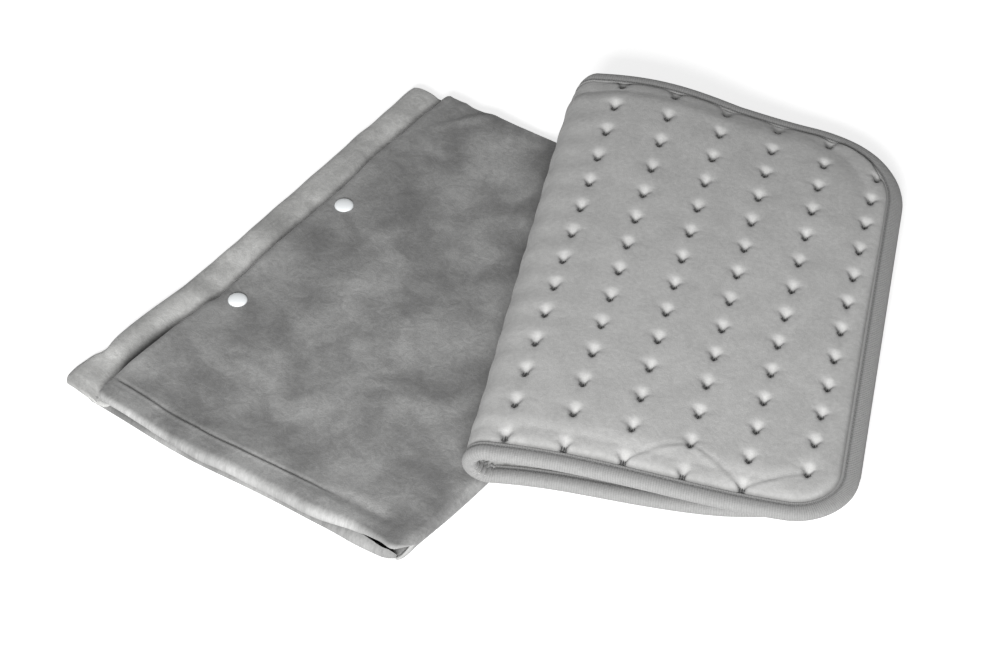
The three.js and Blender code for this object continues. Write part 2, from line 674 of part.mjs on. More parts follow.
function coverFlap() {
  const body = coverLoft([
    [HINGE, flapLow], [HINGE, flapTop], [STRIP_WIDTH + CLOTH / 2, flapTop],
    [STRIP_WIDTH, flapLow + CLOTH * 0.6], [STRIP_WIDTH + CLOTH / 3, flapLow],
  ]);
  const holes = snapPlaces.flatMap((q) => [
    placed(turned([[0, 0], [SNAP_RADIUS + CLEARANCE, 0], [SNAP_RADIUS + CLEARANCE, 4], [0, 4]])
      .translate(0, 0, flapTop - SNAP_CAP_SINK), q),
    placed(turned([[0, 0], [SNAP_POST_RADIUS + CLEARANCE, 0], [SNAP_POST_RADIUS + CLEARANCE, CLOTH + 2],
      [0, CLOTH + 2]]).translate(0, 0, flapLow - 1), q),
  ]);
  return cut(body, ...holes);
}

// Snaps on the mouth. Each stack reads from the cap on the flap down to the back cap.
const snapPlaces = [SNAP_SHIFT - SNAP_SPACING / 2, SNAP_SHIFT + SNAP_SPACING / 2];
const placed = (geometry, q) => geometry.translate(STRIP_WIDTH + SNAP_EDGE_MARGIN - COVER_WIDTH / 2, q, 0);
const studLow = backTop + CLEARANCE;
const studTop = studLow + SNAP_STUD_BASE;
const socketLow = studTop + CLEARANCE;
const socketTop = socketLow + SNAP_SOCKET_THICKNESS;
const recessTop = socketLow + SNAP_RECESS_DEPTH;

const snapCap = () => {
  const low = flapTop - SNAP_CAP_SINK + CLEARANCE;
  const postEnd = recessTop + CLEARANCE;
  return turned([
    [0, postEnd], [SNAP_POST_RADIUS, postEnd], [SNAP_POST_RADIUS, low], [SNAP_RADIUS, low],
    [SNAP_RADIUS, low + SNAP_CAP_THICKNESS * 0.45], [SNAP_RADIUS * 0.8, low + SNAP_CAP_THICKNESS * 0.85],
    [SNAP_RADIUS * 0.35, low + SNAP_CAP_THICKNESS], [0, low + SNAP_CAP_THICKNESS],
  ]);
};

const snapSocket = () => {
  const bore = SNAP_POST_RADIUS + CLEARANCE;
  const recess = SNAP_HEAD_RADIUS + SNAP_PLAY;
  return turned([
    [bore, socketTop], [bore, recessTop], [recess, recessTop], [recess, socketLow],
    [SNAP_DISC_RADIUS, socketLow], [SNAP_DISC_RADIUS, socketTop], [bore, socketTop],
  ]);
};

const snapStud = () => {
  const bore = SNAP_POST_RADIUS + CLEARANCE;
  return turned([
    [0, studTop], [bore, studTop], [bore, studLow], [SNAP_DISC_RADIUS, studLow], [SNAP_DISC_RADIUS, studTop],
    [SNAP_HEAD_RADIUS, studTop], [SNAP_HEAD_RADIUS, recessTop - 2 * CLEARANCE],
    [SNAP_HEAD_RADIUS * 0.7, recessTop - CLEARANCE], [0, recessTop - CLEARANCE],
  ]);
};

const snapBack = () => {
  const low = backTop - CLOTH;
  const postEnd = studTop - CLEARANCE;
  return turned([
    [0, low], [SNAP_RADIUS, low], [SNAP_RADIUS, low + SNAP_CAP_THICKNESS],
    [SNAP_POST_RADIUS, low + SNAP_CAP_THICKNESS], [SNAP_POST_RADIUS, postEnd], [0, postEnd],
  ]);
};

// Materials
const paint = (color, roughness, metalness = 0) => new THREE.MeshStandardMaterial({ color, roughness, metalness });
const plush = paint(0xb4b2ae, 0.95);
const lining = paint(0xaaa8a4, 0.95);
const knit = paint(0x9d9b98, 0.9);
const velvet = paint(0x868686, 0.95);
const felt = paint(0xd8d4c8, 0.95);
const sheath = paint(0xe6e2da, 0.5);
const snapWhite = paint(0xf2f4f6, 0.25);
const shell = paint(0x3c3d40, 0.45);
const insulator = paint(0xcfcabf, 0.5);
const brass = paint(0xb99a55, 0.35, 1);
const steel = paint(0xb8babd, 0.35, 1);

const part = new THREE.Group();
part.name = 'heating_pad_with_cover';
function add(name, geometry, material) {
  const mesh = new THREE.Mesh(geometry, material);
  geometry.computeVertexNormals();
  mesh.name = name;
  part.add(mesh);
}

// How the sewn edges lie: spread at the fold, drawn in at the open side, and the lower half shifted to the rear
function settled(geometry, skew = skewAt) {
  const place = geometry.attributes.position;
  for (let i = 0; i < place.count; i += 1) {
    const x = place.getX(i);
    const y = place.getY(i);
    const across = clamp01(x / HALF_WIDTH);
    const near = (end) => smooth((end * y - HALF_LENGTH + EDGE_REACH) / EDGE_REACH);
    const rear = near(1) * THREE.MathUtils.lerp(REAR_SPREAD, -REAR_DRAW, across);
    const front = near(-1) * THREE.MathUtils.lerp(FRONT_SPREAD, -FRONT_DRAW, across);
    const open = across ** 3 * THREE.MathUtils.lerp(-OPEN_SPREAD, OPEN_DRAW, (y + HALF_LENGTH) / PAD_LENGTH);
    place.setXY(i, x - open, y + rear - front + skew(x));
  }
  return geometry;
}

// One half of the pad. way is +1 where its outer face looks up and -1 where it looks down.
function addHalf(name, mid, way) {
  const between = (a, b) => [
    (x, y) => mid(x, y) + Math.min(way * a(x, y), way * b(x, y)),
    (x, y) => mid(x, y) + Math.max(way * a(x, y), way * b(x, y)),
  ];
  const minus = (f) => (x, y) => -f(x, y);
  const flat = (value) => () => value;
  const addPiece = (piece, geometry, material) => add(
    `${name}_${piece}`, settled(geometry, way < 0 ? skewAt : () => 0), material);
  const tools = way < 0 ? inletPockets() : [];
  const face = layer(...between(zone, half), EDGE_INSET);
  const cloth = layer(...between(minus(half), minus(zone)), EDGE_INSET);
  const carrier = layer(...between(
    flat(CARRIER_OFFSET - CARRIER_THICKNESS / 2), flat(CARRIER_OFFSET + CARRIER_THICKNESS / 2)), CARRIER_MARGIN);
  addPiece('face', way > 0 ? tufted(face) : cut(face, ...tools), plush);
  addPiece('lining', cut(cloth, ...tools), lining);
  addPiece('carrier', carrier, felt);
  addPiece('wire', wireIn(mid, way), sheath);
  addPiece('thermostat', thermostat(mid), steel);
  addPiece('binding', cut(bindingRound(mid), ...tools), knit);
}

addHalf('pad_upper', upperMid, 1);
addHalf('pad_lower', lowerMid, -1);

const atFold = (field) => (y) => field(0, y);
add('pad_fold_face', settled(foldLayer(atFold(zone), atFold(half), EDGE_INSET)), plush);
add('pad_fold_lining', settled(foldLayer((y) => -half(0, y), (y) => -zone(0, y), EDGE_INSET)), lining);
add('pad_fold_carrier', settled(foldLayer(() => CARRIER_OFFSET - CARRIER_THICKNESS / 2,
  () => CARRIER_OFFSET + CARRIER_THICKNESS / 2, CARRIER_MARGIN)), felt);
add('pad_fold_wire', settled(foldWire()), sheath);
add('pad_fold_binding_front', settled(foldBinding(-1)), knit);
add('pad_fold_binding_rear', settled(foldBinding(1)), knit);

add('inlet_base', settled(inletShell(-1)), shell);
add('inlet_lid', settled(inletShell(1)), shell);
add('inlet_pin_block', settled(pinBlock()), insulator);
for (let n = 0; n < PIN_COUNT; n += 1) add(`inlet_pin_${n + 1}`, settled(pin(n)), brass);
add('inlet_lead_1', settled(lead(-1)), sheath);
add('inlet_lead_2', settled(lead(1)), sheath);

const laid = (geometry) => geometry.rotateZ(COVER_TURN).translate(COVER_X, COVER_Y, 0);
add('cover_outer_panel', laid(coverOuterPanel()), velvet);
add('cover_inner_panel', laid(coverInnerPanel()), velvet);
add('cover_mouth_flap', laid(coverFlap()), velvet);
['front', 'rear'].forEach((end, n) => {
  add(`snap_cap_${end}`, laid(placed(snapCap(), snapPlaces[n])), snapWhite);
  add(`snap_socket_${end}`, laid(placed(snapSocket(), snapPlaces[n])), snapWhite);
  add(`snap_stud_${end}`, laid(placed(snapStud(), snapPlaces[n])), snapWhite);
  add(`snap_back_${end}`, laid(placed(snapBack(), snapPlaces[n])), snapWhite);
});

// The frame: middle of the footprint, on the floor
const box = new THREE.Box3().setFromObject(part);
const middle = box.getCenter(new THREE.Vector3());
part.children.forEach((mesh) => mesh.geometry.translate(-middle.x, -middle.y, -box.min.z));

export default part;
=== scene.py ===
"""Looks of a folded plush heating pad that lies on its snap cover.

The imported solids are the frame. Each soft solid is replaced by a fuller one in the same place, and every
solid that stays gets a finish made of nodes. Lengths are metres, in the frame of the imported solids.
"""

import math

import bpy
import numpy as np
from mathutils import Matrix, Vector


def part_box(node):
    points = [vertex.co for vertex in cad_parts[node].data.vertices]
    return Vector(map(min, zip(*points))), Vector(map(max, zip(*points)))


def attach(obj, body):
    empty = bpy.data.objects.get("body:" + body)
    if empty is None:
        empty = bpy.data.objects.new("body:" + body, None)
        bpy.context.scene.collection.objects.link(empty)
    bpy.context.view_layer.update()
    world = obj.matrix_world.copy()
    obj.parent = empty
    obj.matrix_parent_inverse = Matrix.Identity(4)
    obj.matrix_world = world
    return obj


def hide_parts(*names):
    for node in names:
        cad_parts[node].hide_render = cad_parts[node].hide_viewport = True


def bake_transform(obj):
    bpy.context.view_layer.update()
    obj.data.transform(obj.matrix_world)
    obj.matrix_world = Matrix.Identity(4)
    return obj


bl_info = {
    "name": "Folded heating pad",
    "version": (1, 0, 0),
    "blender": (4, 5, 0),
    "location": "View3D > Sidebar > Heating pad",
    "description": "Dresses a folded plush heating pad and its snap cover",
    "category": "Object",
}

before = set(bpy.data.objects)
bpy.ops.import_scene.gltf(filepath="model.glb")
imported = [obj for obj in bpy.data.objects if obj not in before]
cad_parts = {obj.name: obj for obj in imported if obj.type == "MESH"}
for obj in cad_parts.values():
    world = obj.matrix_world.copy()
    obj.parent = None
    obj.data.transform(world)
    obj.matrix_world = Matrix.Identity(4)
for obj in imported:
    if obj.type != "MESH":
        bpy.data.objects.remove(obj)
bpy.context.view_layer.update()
MM = 0.001
BINDING_SLOPE = 0.33
TACK_RADIUS = 0.00048
TACK_ROOM = 0.0025
STITCH_RADIUS = 0.00026
LOWER_TUFT_DEPTH = 0.0018
INNER_TUFT_DEPTH = 0.0012


# Properties


def length(name, default, description):
    """A length in metres that a user may change."""
    return bpy.props.FloatProperty(
        name=name, description=description, default=default, unit="LENGTH", precision=5
    )


def turn(name, degrees, description):
    """An angle, given here in degrees."""
    return bpy.props.FloatProperty(
        name=name, description=description, default=math.radians(degrees), unit="ROTATION"
    )


def count(name, default, description):
    """A whole number of repeats."""
    return bpy.props.IntProperty(name=name, description=description, default=default, min=1)


def share(name, default, description):
    """A plain number, mostly from 0 to 1."""
    return bpy.props.FloatProperty(name=name, description=description, default=default)


def colour(name, level, description, tint=(1.0, 1.0, 1.0)):
    """A colour from one linear grey level and a slight tint."""
    return bpy.props.FloatVectorProperty(
        name=name, description=description, default=tuple(level * part for part in tint),
        subtype="COLOR", size=3, min=0.0, max=1.0,
    )


class PadSizes(bpy.types.PropertyGroup):
    """Sizes of the folded pad, the same as those of its solids."""

    length: length("Length", 0.330, "Length of the pad along its fold")
    open_width: length("Open width", 0.440, "Width of the pad when it is unfolded")
    crown: length("Crown", 0.0085, "Thickness of one half in its middle")
    sewn: length("Sewn edge", 0.0048, "Thickness of one half under its binding")
    crown_start: length("Crown start", 0.012, "Distance in from the edge where the crown begins")
    crown_reach: length("Crown reach", 0.020, "Distance over which the crown rises")
    front_corner: length("Front corner", 0.037, "Radius of the open corner at the front")
    rear_corner: length("Rear corner", 0.064, "Radius of the open corner at the rear, which lies rounder")
    corner_ease: length("Corner ease", 0.016, "Extra radius of the crown inside the corners")
    fold_gap: length("Fold gap", 0.0165, "Height of the tunnel inside the fold")
    fold_reach: length("Fold reach", 0.170, "Distance from the fold over which the tunnel closes")
    open_gap: length("Open gap", 0.0006, "Gap between the halves at their open edge")
    lower_skew: length("Lower skew", 0.0075, "How far the lower half lies out of square")
    edge_reach: length("Edge reach", 0.110, "Distance from the ends over which the edges are drawn")
    front_spread: length("Front spread", 0.007, "How far the front edge is spread at the fold")
    front_draw: length("Front draw", 0.0055, "How far the front edge is drawn in at the open side")
    rear_spread: length("Rear spread", 0.0015, "How far the rear edge is spread at the fold")
    rear_bow: length("Rear bow", 0.0046, "How far the rear edge bows out beside the fold")
    rear_draw: length("Rear draw", 0.0034, "How far the rear edge is drawn in at the open side")
    lower_draw: length("Lower draw", 0.006, "How far the lower half's front edge is drawn back at the fold")
    fold_taper: share("Fold taper", 0.45, "Share of its depth that the fold loses at its rear end")
    open_spread: length("Open spread", 0.001, "How far the open edge is spread at the front")
    open_draw: length("Open draw", 0.003, "How far the open edge is drawn in at the rear")
    binding_width: length("Binding width", 0.010, "Width of the binding on the face")
    binding_wall: length("Binding cloth", 0.001, "Thickness of the binding's cloth")
    tuft_columns: count("Tuft columns", 6, "Columns of tufts on one half")
    tuft_rows: count("Tuft rows", 14, "Rows of tufts along the fold")
    tuft_fold_margin: length("Tuft fold margin", 0.011, "Distance of the first column from the fold")
    tuft_edge_margin: length("Tuft edge margin", 0.0237, "Distance of the last column from the open edge")
    tuft_row_margin: length("Tuft row margin", 0.0147, "Distance of the end rows from the edges")
    tuft_turn: turn("Tuft turn", -2.2, "Turn of the tuft grid")
    tuft_shift: length("Tuft shift", -0.003, "Shift of the tuft grid along the fold")
    tuft_stop: length("Tuft stop", 0.00325, "Least distance of a tuft from the binding's seam")
    tuft_depth: length("Tuft depth", 0.0044, "Depth of a tuft on the outer face")
    tuft_floor: length("Tuft floor", 0.0017, "Least half thickness under a tuft, over the heating core")
    puff: length("Puff", 0.0019, "How far the plush swells between the tufts")
    row_wave: length("Row wave", 0.00025, "How far the plush waves from row to row over the fold")
    clearance: length("Clearance", 0.0003, "Gap between layers that touch")
    grid: length("Grid step", 0.0013, "Step of the grid that the plush is made on")


class CoverSizes(bpy.types.PropertyGroup):
    """Sizes of the cover that the pad lies on, the same as those of its solids."""

    length: length("Length", 0.337, "Length of the cover along its mouth")
    width: length("Width", 0.2385, "Width of the cover from its mouth to its fold")
    cloth: length("Cloth", 0.0022, "Thickness of one layer of cloth")
    clearance: length("Clearance", 0.0003, "Gap between layers")
    strip: length("Back strip", 0.0282, "Width of the back layer that shows past the flap")
    flap: length("Flap", 0.035, "Width of the flap that lifts")
    ramp: length("Ramp", 0.045, "Distance over which the cloth comes down behind the flap")
    side_roll: length("Side roll", 0.018, "Distance over which the sides come down")
    side_drop: share("Side drop", 0.3, "Share of the height that is lost at the rear side")
    side_swell: share("Side swell", 0.3, "Share of the height that the front side swells by")
    corner: length("Corner", 0.009, "Radius of the corners at the mouth")
    far_corner: length("Far corner", 0.015, "Radius of the front corner at the fold")
    snap_rise: length("Snap rise", 0.0036, "Height of a closed snap between the layers")
    place_x: length("Place across", -0.0784, "Middle of the cover from the pad's fold")
    place_y: length("Place along", -0.0281, "Middle of the cover along the pad's fold")
    turn: turn("Turn", -24.3, "Turn of the cover under the pad")
    drape_start: length("Drape start", 0.008, "Distance past the cover where the pad starts to sink")
    drape_reach: length("Drape reach", 0.200, "Distance over which the pad comes down to the floor")
    snap_margin: length("Snap margin", 0.0105, "Distance of the snaps from the flap's edge")
    snap_spacing: length("Snap spacing", 0.1026, "Distance between the snaps")
    snap_shift: length("Snap shift", -0.0104, "Shift of the pair of snaps along the mouth")


class SnapSizes(bpy.types.PropertyGroup):
    """Sizes of the snaps, the same as those of their solids."""

    cap_radius: length("Cap radius", 0.0058, "Radius of the visible caps")
    cap_rise: length("Cap thickness", 0.0028, "Thickness of the caps")
    cap_sink: length("Cap sink", 0.0008, "How far a cap sinks into the cloth")
    disc_radius: length("Disc radius", 0.0055, "Radius of the socket and the stud")
    stud_base: length("Stud base", 0.0007, "Thickness of the stud's base")
    socket_rise: length("Socket thickness", 0.0020, "Thickness of the socket")
    recess: length("Recess", 0.0013, "Depth of the socket's recess")
    head_radius: length("Head radius", 0.0021, "Radius of the stud's head")
    play: length("Play", 0.0005, "Play of the head in the recess")
    post_radius: length("Post radius", 0.0012, "Radius of the posts through the cloth")


class Finishes(bpy.types.PropertyGroup):
    """Colours of the cloths and fittings."""

    plush: colour("Plush", 0.45, "Short plush of the pad's faces", (1.0, 0.998, 0.985))
    knit: colour("Binding", 0.315, "Rib knit of the binding", (1.0, 0.998, 0.99))
    velvet: colour("Velvet", 0.262, "Pile of the cover", (1.0, 1.0, 0.99))
    velvet_inside: colour("Velvet inside", 0.46, "Paler side of the cover's back layer", (1.0, 1.0, 0.98))
    thread: colour("Thread", 0.055, "Thread of the tufts")
    seam: colour("Seam thread", 0.20, "Thread of the seams")
    snap: colour("Snap", 0.94, "Moulded snaps", (0.955, 0.985, 1.0))
    shell: colour("Inlet shell", 0.045, "Moulded shells of the inlet")
    insulator: colour("Insulator", 0.56, "Block that holds the pins", (1.0, 0.96, 0.88))
    felt: colour("Carrier felt", 0.62, "Felt that carries the wire", (1.0, 0.97, 0.9))
    sheath: colour("Wire sheath", 0.70, "Sheath of the wire and leads", (1.0, 0.98, 0.94))
    brass: colour("Brass", 0.62, "Pins", (1.0, 0.78, 0.42))
    steel: colour("Steel", 0.55, "Thermostat cans")


class StageSettings(bpy.types.PropertyGroup):
    """Camera and light."""

    lens: share("Lens", 121.0, "Focal length in millimetres on a 36 mm wide sensor")
    azimuth: turn("Azimuth", -11.66, "Way that the camera looks, from straight ahead")
    elevation: turn("Elevation", 44.17, "How far the camera looks down")
    roll: turn("Roll", -0.24, "Roll of the camera")
    distance: length("Distance", 1.968, "Distance of the camera from its aim")
    aim: bpy.props.FloatVectorProperty(
        name="Aim", description="Point that the camera looks at", default=(0.00583, -0.01884, 0.0100),
        subtype="TRANSLATION", size=3, unit="LENGTH", precision=5,
    )
    key: share("Key light", 32.0, "Power of the soft light from the front")
    fill: share("Fill light", 0.31, "Strength of the light from all round")


# Forms


def smooth(value):
    """Ease from 0 to 1: three times the square less twice the cube, held at both ends."""
    s = np.clip(value, 0.0, 1.0)
    return s * s * (3.0 - 2.0 * s)


def bump(value):
    """A bell of height 1: the exponential of minus the square."""
    return np.exp(-value * value)


def climb(value, start, reach):
    """0 up to a start, easing to 1 over a reach."""
    return smooth((value - start) / reach)


def fade(value, end, reach):
    """1 down from a reach before an end, easing to 0 at the end."""
    return smooth((end - value) / reach)


def bell(value, middle, width):
    """A bell of height 1 round a middle."""
    return bump((value - middle) / width)


def wander(x, y, wave, seed, parts=6):
    """A soft random field from -1 to 1: the mean of sines whose ways and phases come from a seed."""
    rng = np.random.default_rng(seed)
    total = np.zeros(np.broadcast(x, y).shape)
    for _ in range(parts):
        way = rng.uniform(0.0, 2.0 * math.pi)
        rate = 2.0 * math.pi / wave * rng.uniform(0.7, 1.5)
        phase = rng.uniform(0.0, 2.0 * math.pi)
        total += np.sin((x * math.cos(way) + y * math.sin(way)) * rate + phase)
    return total / parts


class PadForm:
    """The folded pad as functions of its plan: x counts from the fold, y along it from its middle."""

    def __init__(self, pad, cover):
        self.pad = pad
        self.cover = cover
        self.roll = pad.sewn / 2 + pad.clearance + pad.binding_wall
        self.crown = pad.crown / 2
        self.fold_radius = self.crown + pad.fold_gap / 2
        self.half_width = (pad.open_width - math.pi * self.fold_radius) / 2
        self.half_length = pad.length / 2
        self.inset = pad.binding_wall + pad.clearance
        self.rest = 4 * cover.cloth + 4 * cover.clearance
        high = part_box("pad_fold_face")[1]
        self.origin = (high[0], high[1] - self.half_length + self.inset - pad.rear_spread)
        columns, rows = pad.tuft_columns, pad.tuft_rows
        free = self.half_width - pad.tuft_fold_margin - pad.tuft_edge_margin
        self.column_pitch = free / (columns - 1)
        self.row_pitch = (pad.length - 2 * pad.tuft_row_margin) / (rows - 1)
        self.middle_x = pad.tuft_fold_margin + (columns - 1) / 2 * self.column_pitch
        self.tufts = self.tuft_places(columns, rows)

    def tuft_places(self, columns, rows):
        """A turned grid of columns and rows whose end rows stop at the binding's seam."""
        pad = self.pad
        column, row = np.meshgrid(np.arange(columns), np.arange(rows), indexing="ij")
        across = (column - (columns - 1) / 2) * self.column_pitch
        along = (row - (rows - 1) / 2) * self.row_pitch
        cos, sin = math.cos(pad.tuft_turn), math.sin(pad.tuft_turn)
        seam = self.half_length - pad.binding_width - pad.tuft_stop
        x = self.middle_x + across * cos - along * sin
        y = np.clip(pad.tuft_shift + across * sin + along * cos, -seam, seam)
        places = np.stack([x, y], -1)
        self.front_row, self.second_row, self.rear_row = places[:, 0], places[:, 1], places[:, -1]
        places = places.reshape(-1, 2)
        inside = self.edge_distance(places[:, 0], places[:, 1]) > pad.binding_width + TACK_ROOM
        return places[inside]

    def edge_distance(self, x, y, ease=0.0):
        """Distance in from the open edges. Their two corners are round, and an ease makes them rounder."""
        corner = np.where(y > 0, self.pad.rear_corner, self.pad.front_corner) + ease
        dx = self.half_width - x
        dy = self.half_length - np.abs(y)
        rounded = corner - np.hypot(corner - dx, corner - dy)
        return np.where((dx > corner) | (dy > corner), np.minimum(dx, dy), rounded)

    def bed(self, x, y):
        """Height that the pad lies on: the cover, then an eased slope down to the floor."""
        cover = self.cover
        cos, sin = math.cos(cover.turn), math.sin(cover.turn)
        dx, dy = x - cover.place_x, y - cover.place_y
        past_fold = np.maximum(dx * cos + dy * sin - cover.width / 2, 0.0)
        past_side = np.maximum(dy * cos - dx * sin - cover.length / 2, 0.0)
        beyond = np.hypot(past_fold, past_side) - cover.drape_start
        return self.rest * (1.0 - smooth(beyond / cover.drape_reach))

    def half(self, x, y):
        """Half thickness: the sewn edge, then a quarter sine up to the crown."""
        past = self.edge_distance(x, y, self.pad.corner_ease) - self.pad.crown_start
        rise = np.clip(past / self.pad.crown_reach, 0, 1)
        return self.pad.sewn / 2 + (self.crown - self.pad.sewn / 2) * np.sin(rise * math.pi / 2)

    def plump(self, x, y):
        """Half thickness of the outer face: an exponential rise past the seam, lower and slower at the fold."""
        seam_gap, slack, dip = 0.0003, 0.0007, 0.0012
        past = np.maximum(self.edge_distance(x, y) - self.pad.binding_width - seam_gap, 0.0)
        tight = self.tight(x)
        rise = self.crown + self.pad.puff - (self.pad.puff + slack) * tight - self.pad.sewn / 2
        low = dip * bell(self.half_length - y, 0.0110, 0.0060) * self.straight(x)
        low = (1.0 - tight) * np.minimum(low, 0.5 * past)
        reach = 0.0030 + 0.0060 * tight * climb(y, 0.0, 0.05)
        return self.pad.sewn / 2 + rise * (1.0 - np.exp(-past / reach)) - low

    def stack(self, x, y):
        """Half thickness with the binding counted in."""
        return np.maximum(self.half(x, y), self.roll)

    def gap(self, x):
        """Gap between the halves, which closes away from the fold."""
        pad = self.pad
        return pad.open_gap + (pad.fold_gap - pad.open_gap) * (1.0 - smooth(x / pad.fold_reach))

    def skew(self, x):
        """Shift of the lower half along the fold: a quarter sine that ends at its open edge."""
        return self.pad.lower_skew * np.sin(np.clip(x / self.half_width, 0, 1) * math.pi / 2)

    def middle(self, x, y, way):
        """Height of the middle of the upper half (way 1) or the lower one (way -1)."""
        if way < 0:
            return self.bed(x, y + self.skew(x)) + self.stack(x, y)
        below = np.maximum(self.stack(x, y), self.stack(x, y - self.skew(x)))
        return self.bed(x, y) + 2 * below + self.gap(x) + self.stack(x, y)

    def laid(self, x, y, z, way):
        """Points in the frame: edges spread at the fold, drawn in by the open side, the lower half shifted.

        way goes from -1 at the lower half to 1 at the upper one, and the fold takes the numbers between.
        """
        pad = self.pad
        lower = (1.0 - way) / 2.0
        across = np.clip(x / self.half_width, 0, 1)
        rear = smooth((y - self.half_length + pad.edge_reach) / pad.edge_reach)
        front = smooth((-y - self.half_length + pad.edge_reach) / pad.edge_reach)
        moved = y + rear * (pad.rear_spread - (pad.rear_spread + pad.rear_draw) * across)
        half_wave, hollow_share = 0.45, 0.35
        bow = np.sin(math.pi * np.minimum(across / half_wave, 2.0))
        moved = moved + rear * pad.rear_bow * np.where(bow > 0, bow, hollow_share * bow)
        moved = moved - front * (pad.front_spread - (pad.front_spread + pad.front_draw) * across)
        drawn = 0.67 * np.cos(math.pi * across / 0.55) + 0.33 * (1.0 - across)
        drawn = drawn + 0.37 * climb(across, 0.62, 0.2)
        moved = moved + lower * (self.skew(x) + pad.lower_draw * front * drawn)
        back = (y + self.half_length) / pad.length
        pulled = x - across**3 * ((pad.open_spread + pad.open_draw) * back - pad.open_spread)
        return np.stack(np.broadcast_arrays(pulled + self.origin[0], moved + self.origin[1], z), -1)

    def dimples(self, x, y):
        """How far the tufts pull the cloth in, 0 to 1: half a cosine, long behind a tuft, short before it."""
        behind, ahead, narrow, widening = 0.0080, 0.0050, 0.0023, 0.0033
        total = np.zeros(np.broadcast(x, y).shape)
        for tuft_x, tuft_y in self.tufts:
            dx, dy = x - tuft_x, y - tuft_y
            wide = narrow + widening * climb(dy, -0.0010, 0.0050)
            away = np.hypot(dx / wide, dy / np.where(dy > 0, behind, ahead))
            total += 0.86 * (0.5 + 0.5 * np.cos(math.pi * np.minimum(away, 1.0))) + 0.14 * bump(0.8 * away)
        return np.minimum(total, 1.0)

    def waves(self, x, y):
        """Puffs from row to row over the fold: a cosine, low at the rows, that fades away from the fold."""
        turns = (y - self.pad.tuft_shift) / self.row_pitch + (self.pad.tuft_rows - 1) / 2
        near = np.where(x < 0, 1.0, bump(x / 0.022)) * fade(np.abs(y), self.half_length - 0.012, 0.02)
        return -self.pad.row_wave * np.cos(2.0 * math.pi * turns) * near

    def creases(self, x, y):
        """Pull creases: bells across half-sine arcs from tuft to tuft in the two front rows, and wrinkles."""
        groove, ridge, wrinkle = 0.0007, 0.0004, 0.00016
        total = wrinkle * wander(x, y, 0.007, 9) * bell(x, 0.140, 0.030) * bell(y, -0.147, 0.010)
        first, second = self.front_row, self.second_row
        for (x0, y0), (x1, y1), bow in (
            (first[2], second[3], 0.0030), (second[3], first[4], 0.0022), (first[4], second[5], 0.0016)
        ):
            t = np.clip((x - x0) / (x1 - x0), 0, 1)
            line = y0 + (y1 - y0) * t + bow * np.sin(math.pi * t)
            total = total + groove * bell(y - line, 0.0, 0.0012) * np.sqrt(np.sin(math.pi * t))
            total = total - ridge * bell(y - line, -0.0030, 0.0020) * np.sin(math.pi * t)
        return total

    def straight(self, x):
        """1 along the straight part of the rear edge, easing to 0 at its round corner."""
        return fade(x, self.half_width - 0.6 * self.pad.rear_corner, 0.03)

    def tight(self, x):
        """1 round the fold, where the plush lies tight, easing to 0 at the first column of tufts."""
        return fade(x, 0.016, 0.020)

    def bulge(self, x, y):
        """Shifts of x and y where the plush swells out over the binding round the rear corner.

        They follow a bell beside the seam, fade to the front and are held back at the tufts.
        """
        corner = self.pad.rear_corner
        out_x = np.maximum(corner - self.half_width + x, 0.0)
        out_y = np.maximum(corner - self.half_length + y, 0.0)
        held = 0.7 * sum(bell(x, tuft_x, 0.0055) for tuft_x, _ in self.rear_row)
        near = bell(self.edge_distance(x, y), 0.0138, 0.0036) * climb(y, -0.02, 0.10)
        near = near * (1.0 - self.tight(x))
        amount = 0.0026 * near * (1.0 - np.minimum(held, 1.0)) / np.maximum(np.hypot(out_x, out_y), 1e-6)
        return amount * out_x, amount * out_y

    def outer(self, x, y):
        """Half thickness of the outer face with its puffs, tufts, pull creases and soft unevenness."""
        loose_start, loose_reach = 0.012, 0.02
        inside = self.edge_distance(x, y)
        loose = np.clip((inside - loose_start) / loose_reach, 0, 1)
        uneven = 0.00022 * wander(x, y, 0.045, 3) + 0.00010 * wander(x, y, 0.016, 4)
        full = self.plump(x, y) + uneven * loose + self.waves(x, y) - self.creases(x, y)
        pinned = np.maximum(full - self.pad.tuft_depth * self.dimples(x, y), self.pad.tuft_floor)
        room = BINDING_SLOPE * inside - 0.00035
        room = room + 0.0040 * climb(inside - self.pad.binding_width, 0.0002, 0.0025)
        return np.minimum(pinned, np.maximum(room, 0.0))

    def flat_side(self, x, y):
        """Half thickness of the outer face of the lower half, which its weight keeps flat."""
        return self.half(x, y) - LOWER_TUFT_DEPTH * self.dimples(x, y)

    def pinch(self, x, y):
        """Painted shade and highlight, as bells: painted shade of 1 under a bar tack and 0.9 in the seam,
        painted highlight of -0.5 on the slope behind a tuft.
        """
        total = 0.9 * bell(self.edge_distance(x, y) - self.pad.binding_width, 0.0005, 0.0011)
        for tuft_x, tuft_y in self.tufts:
            dx, dy = x - tuft_x, y - tuft_y
            total = total + bump((dx / 0.0024) ** 2) * bump(((dy + 0.0012) / 0.0026) ** 2)
            total = total - 0.5 * bump(dx / 0.0040) * bell(dy, 0.0050, 0.0028)
        return np.clip(total, -0.5, 1.0)

    def inner(self, x, y):
        """Half thickness of the inner face, which the tufts pull in less."""
        return self.half(x, y) - INNER_TUFT_DEPTH * self.dimples(x, y)

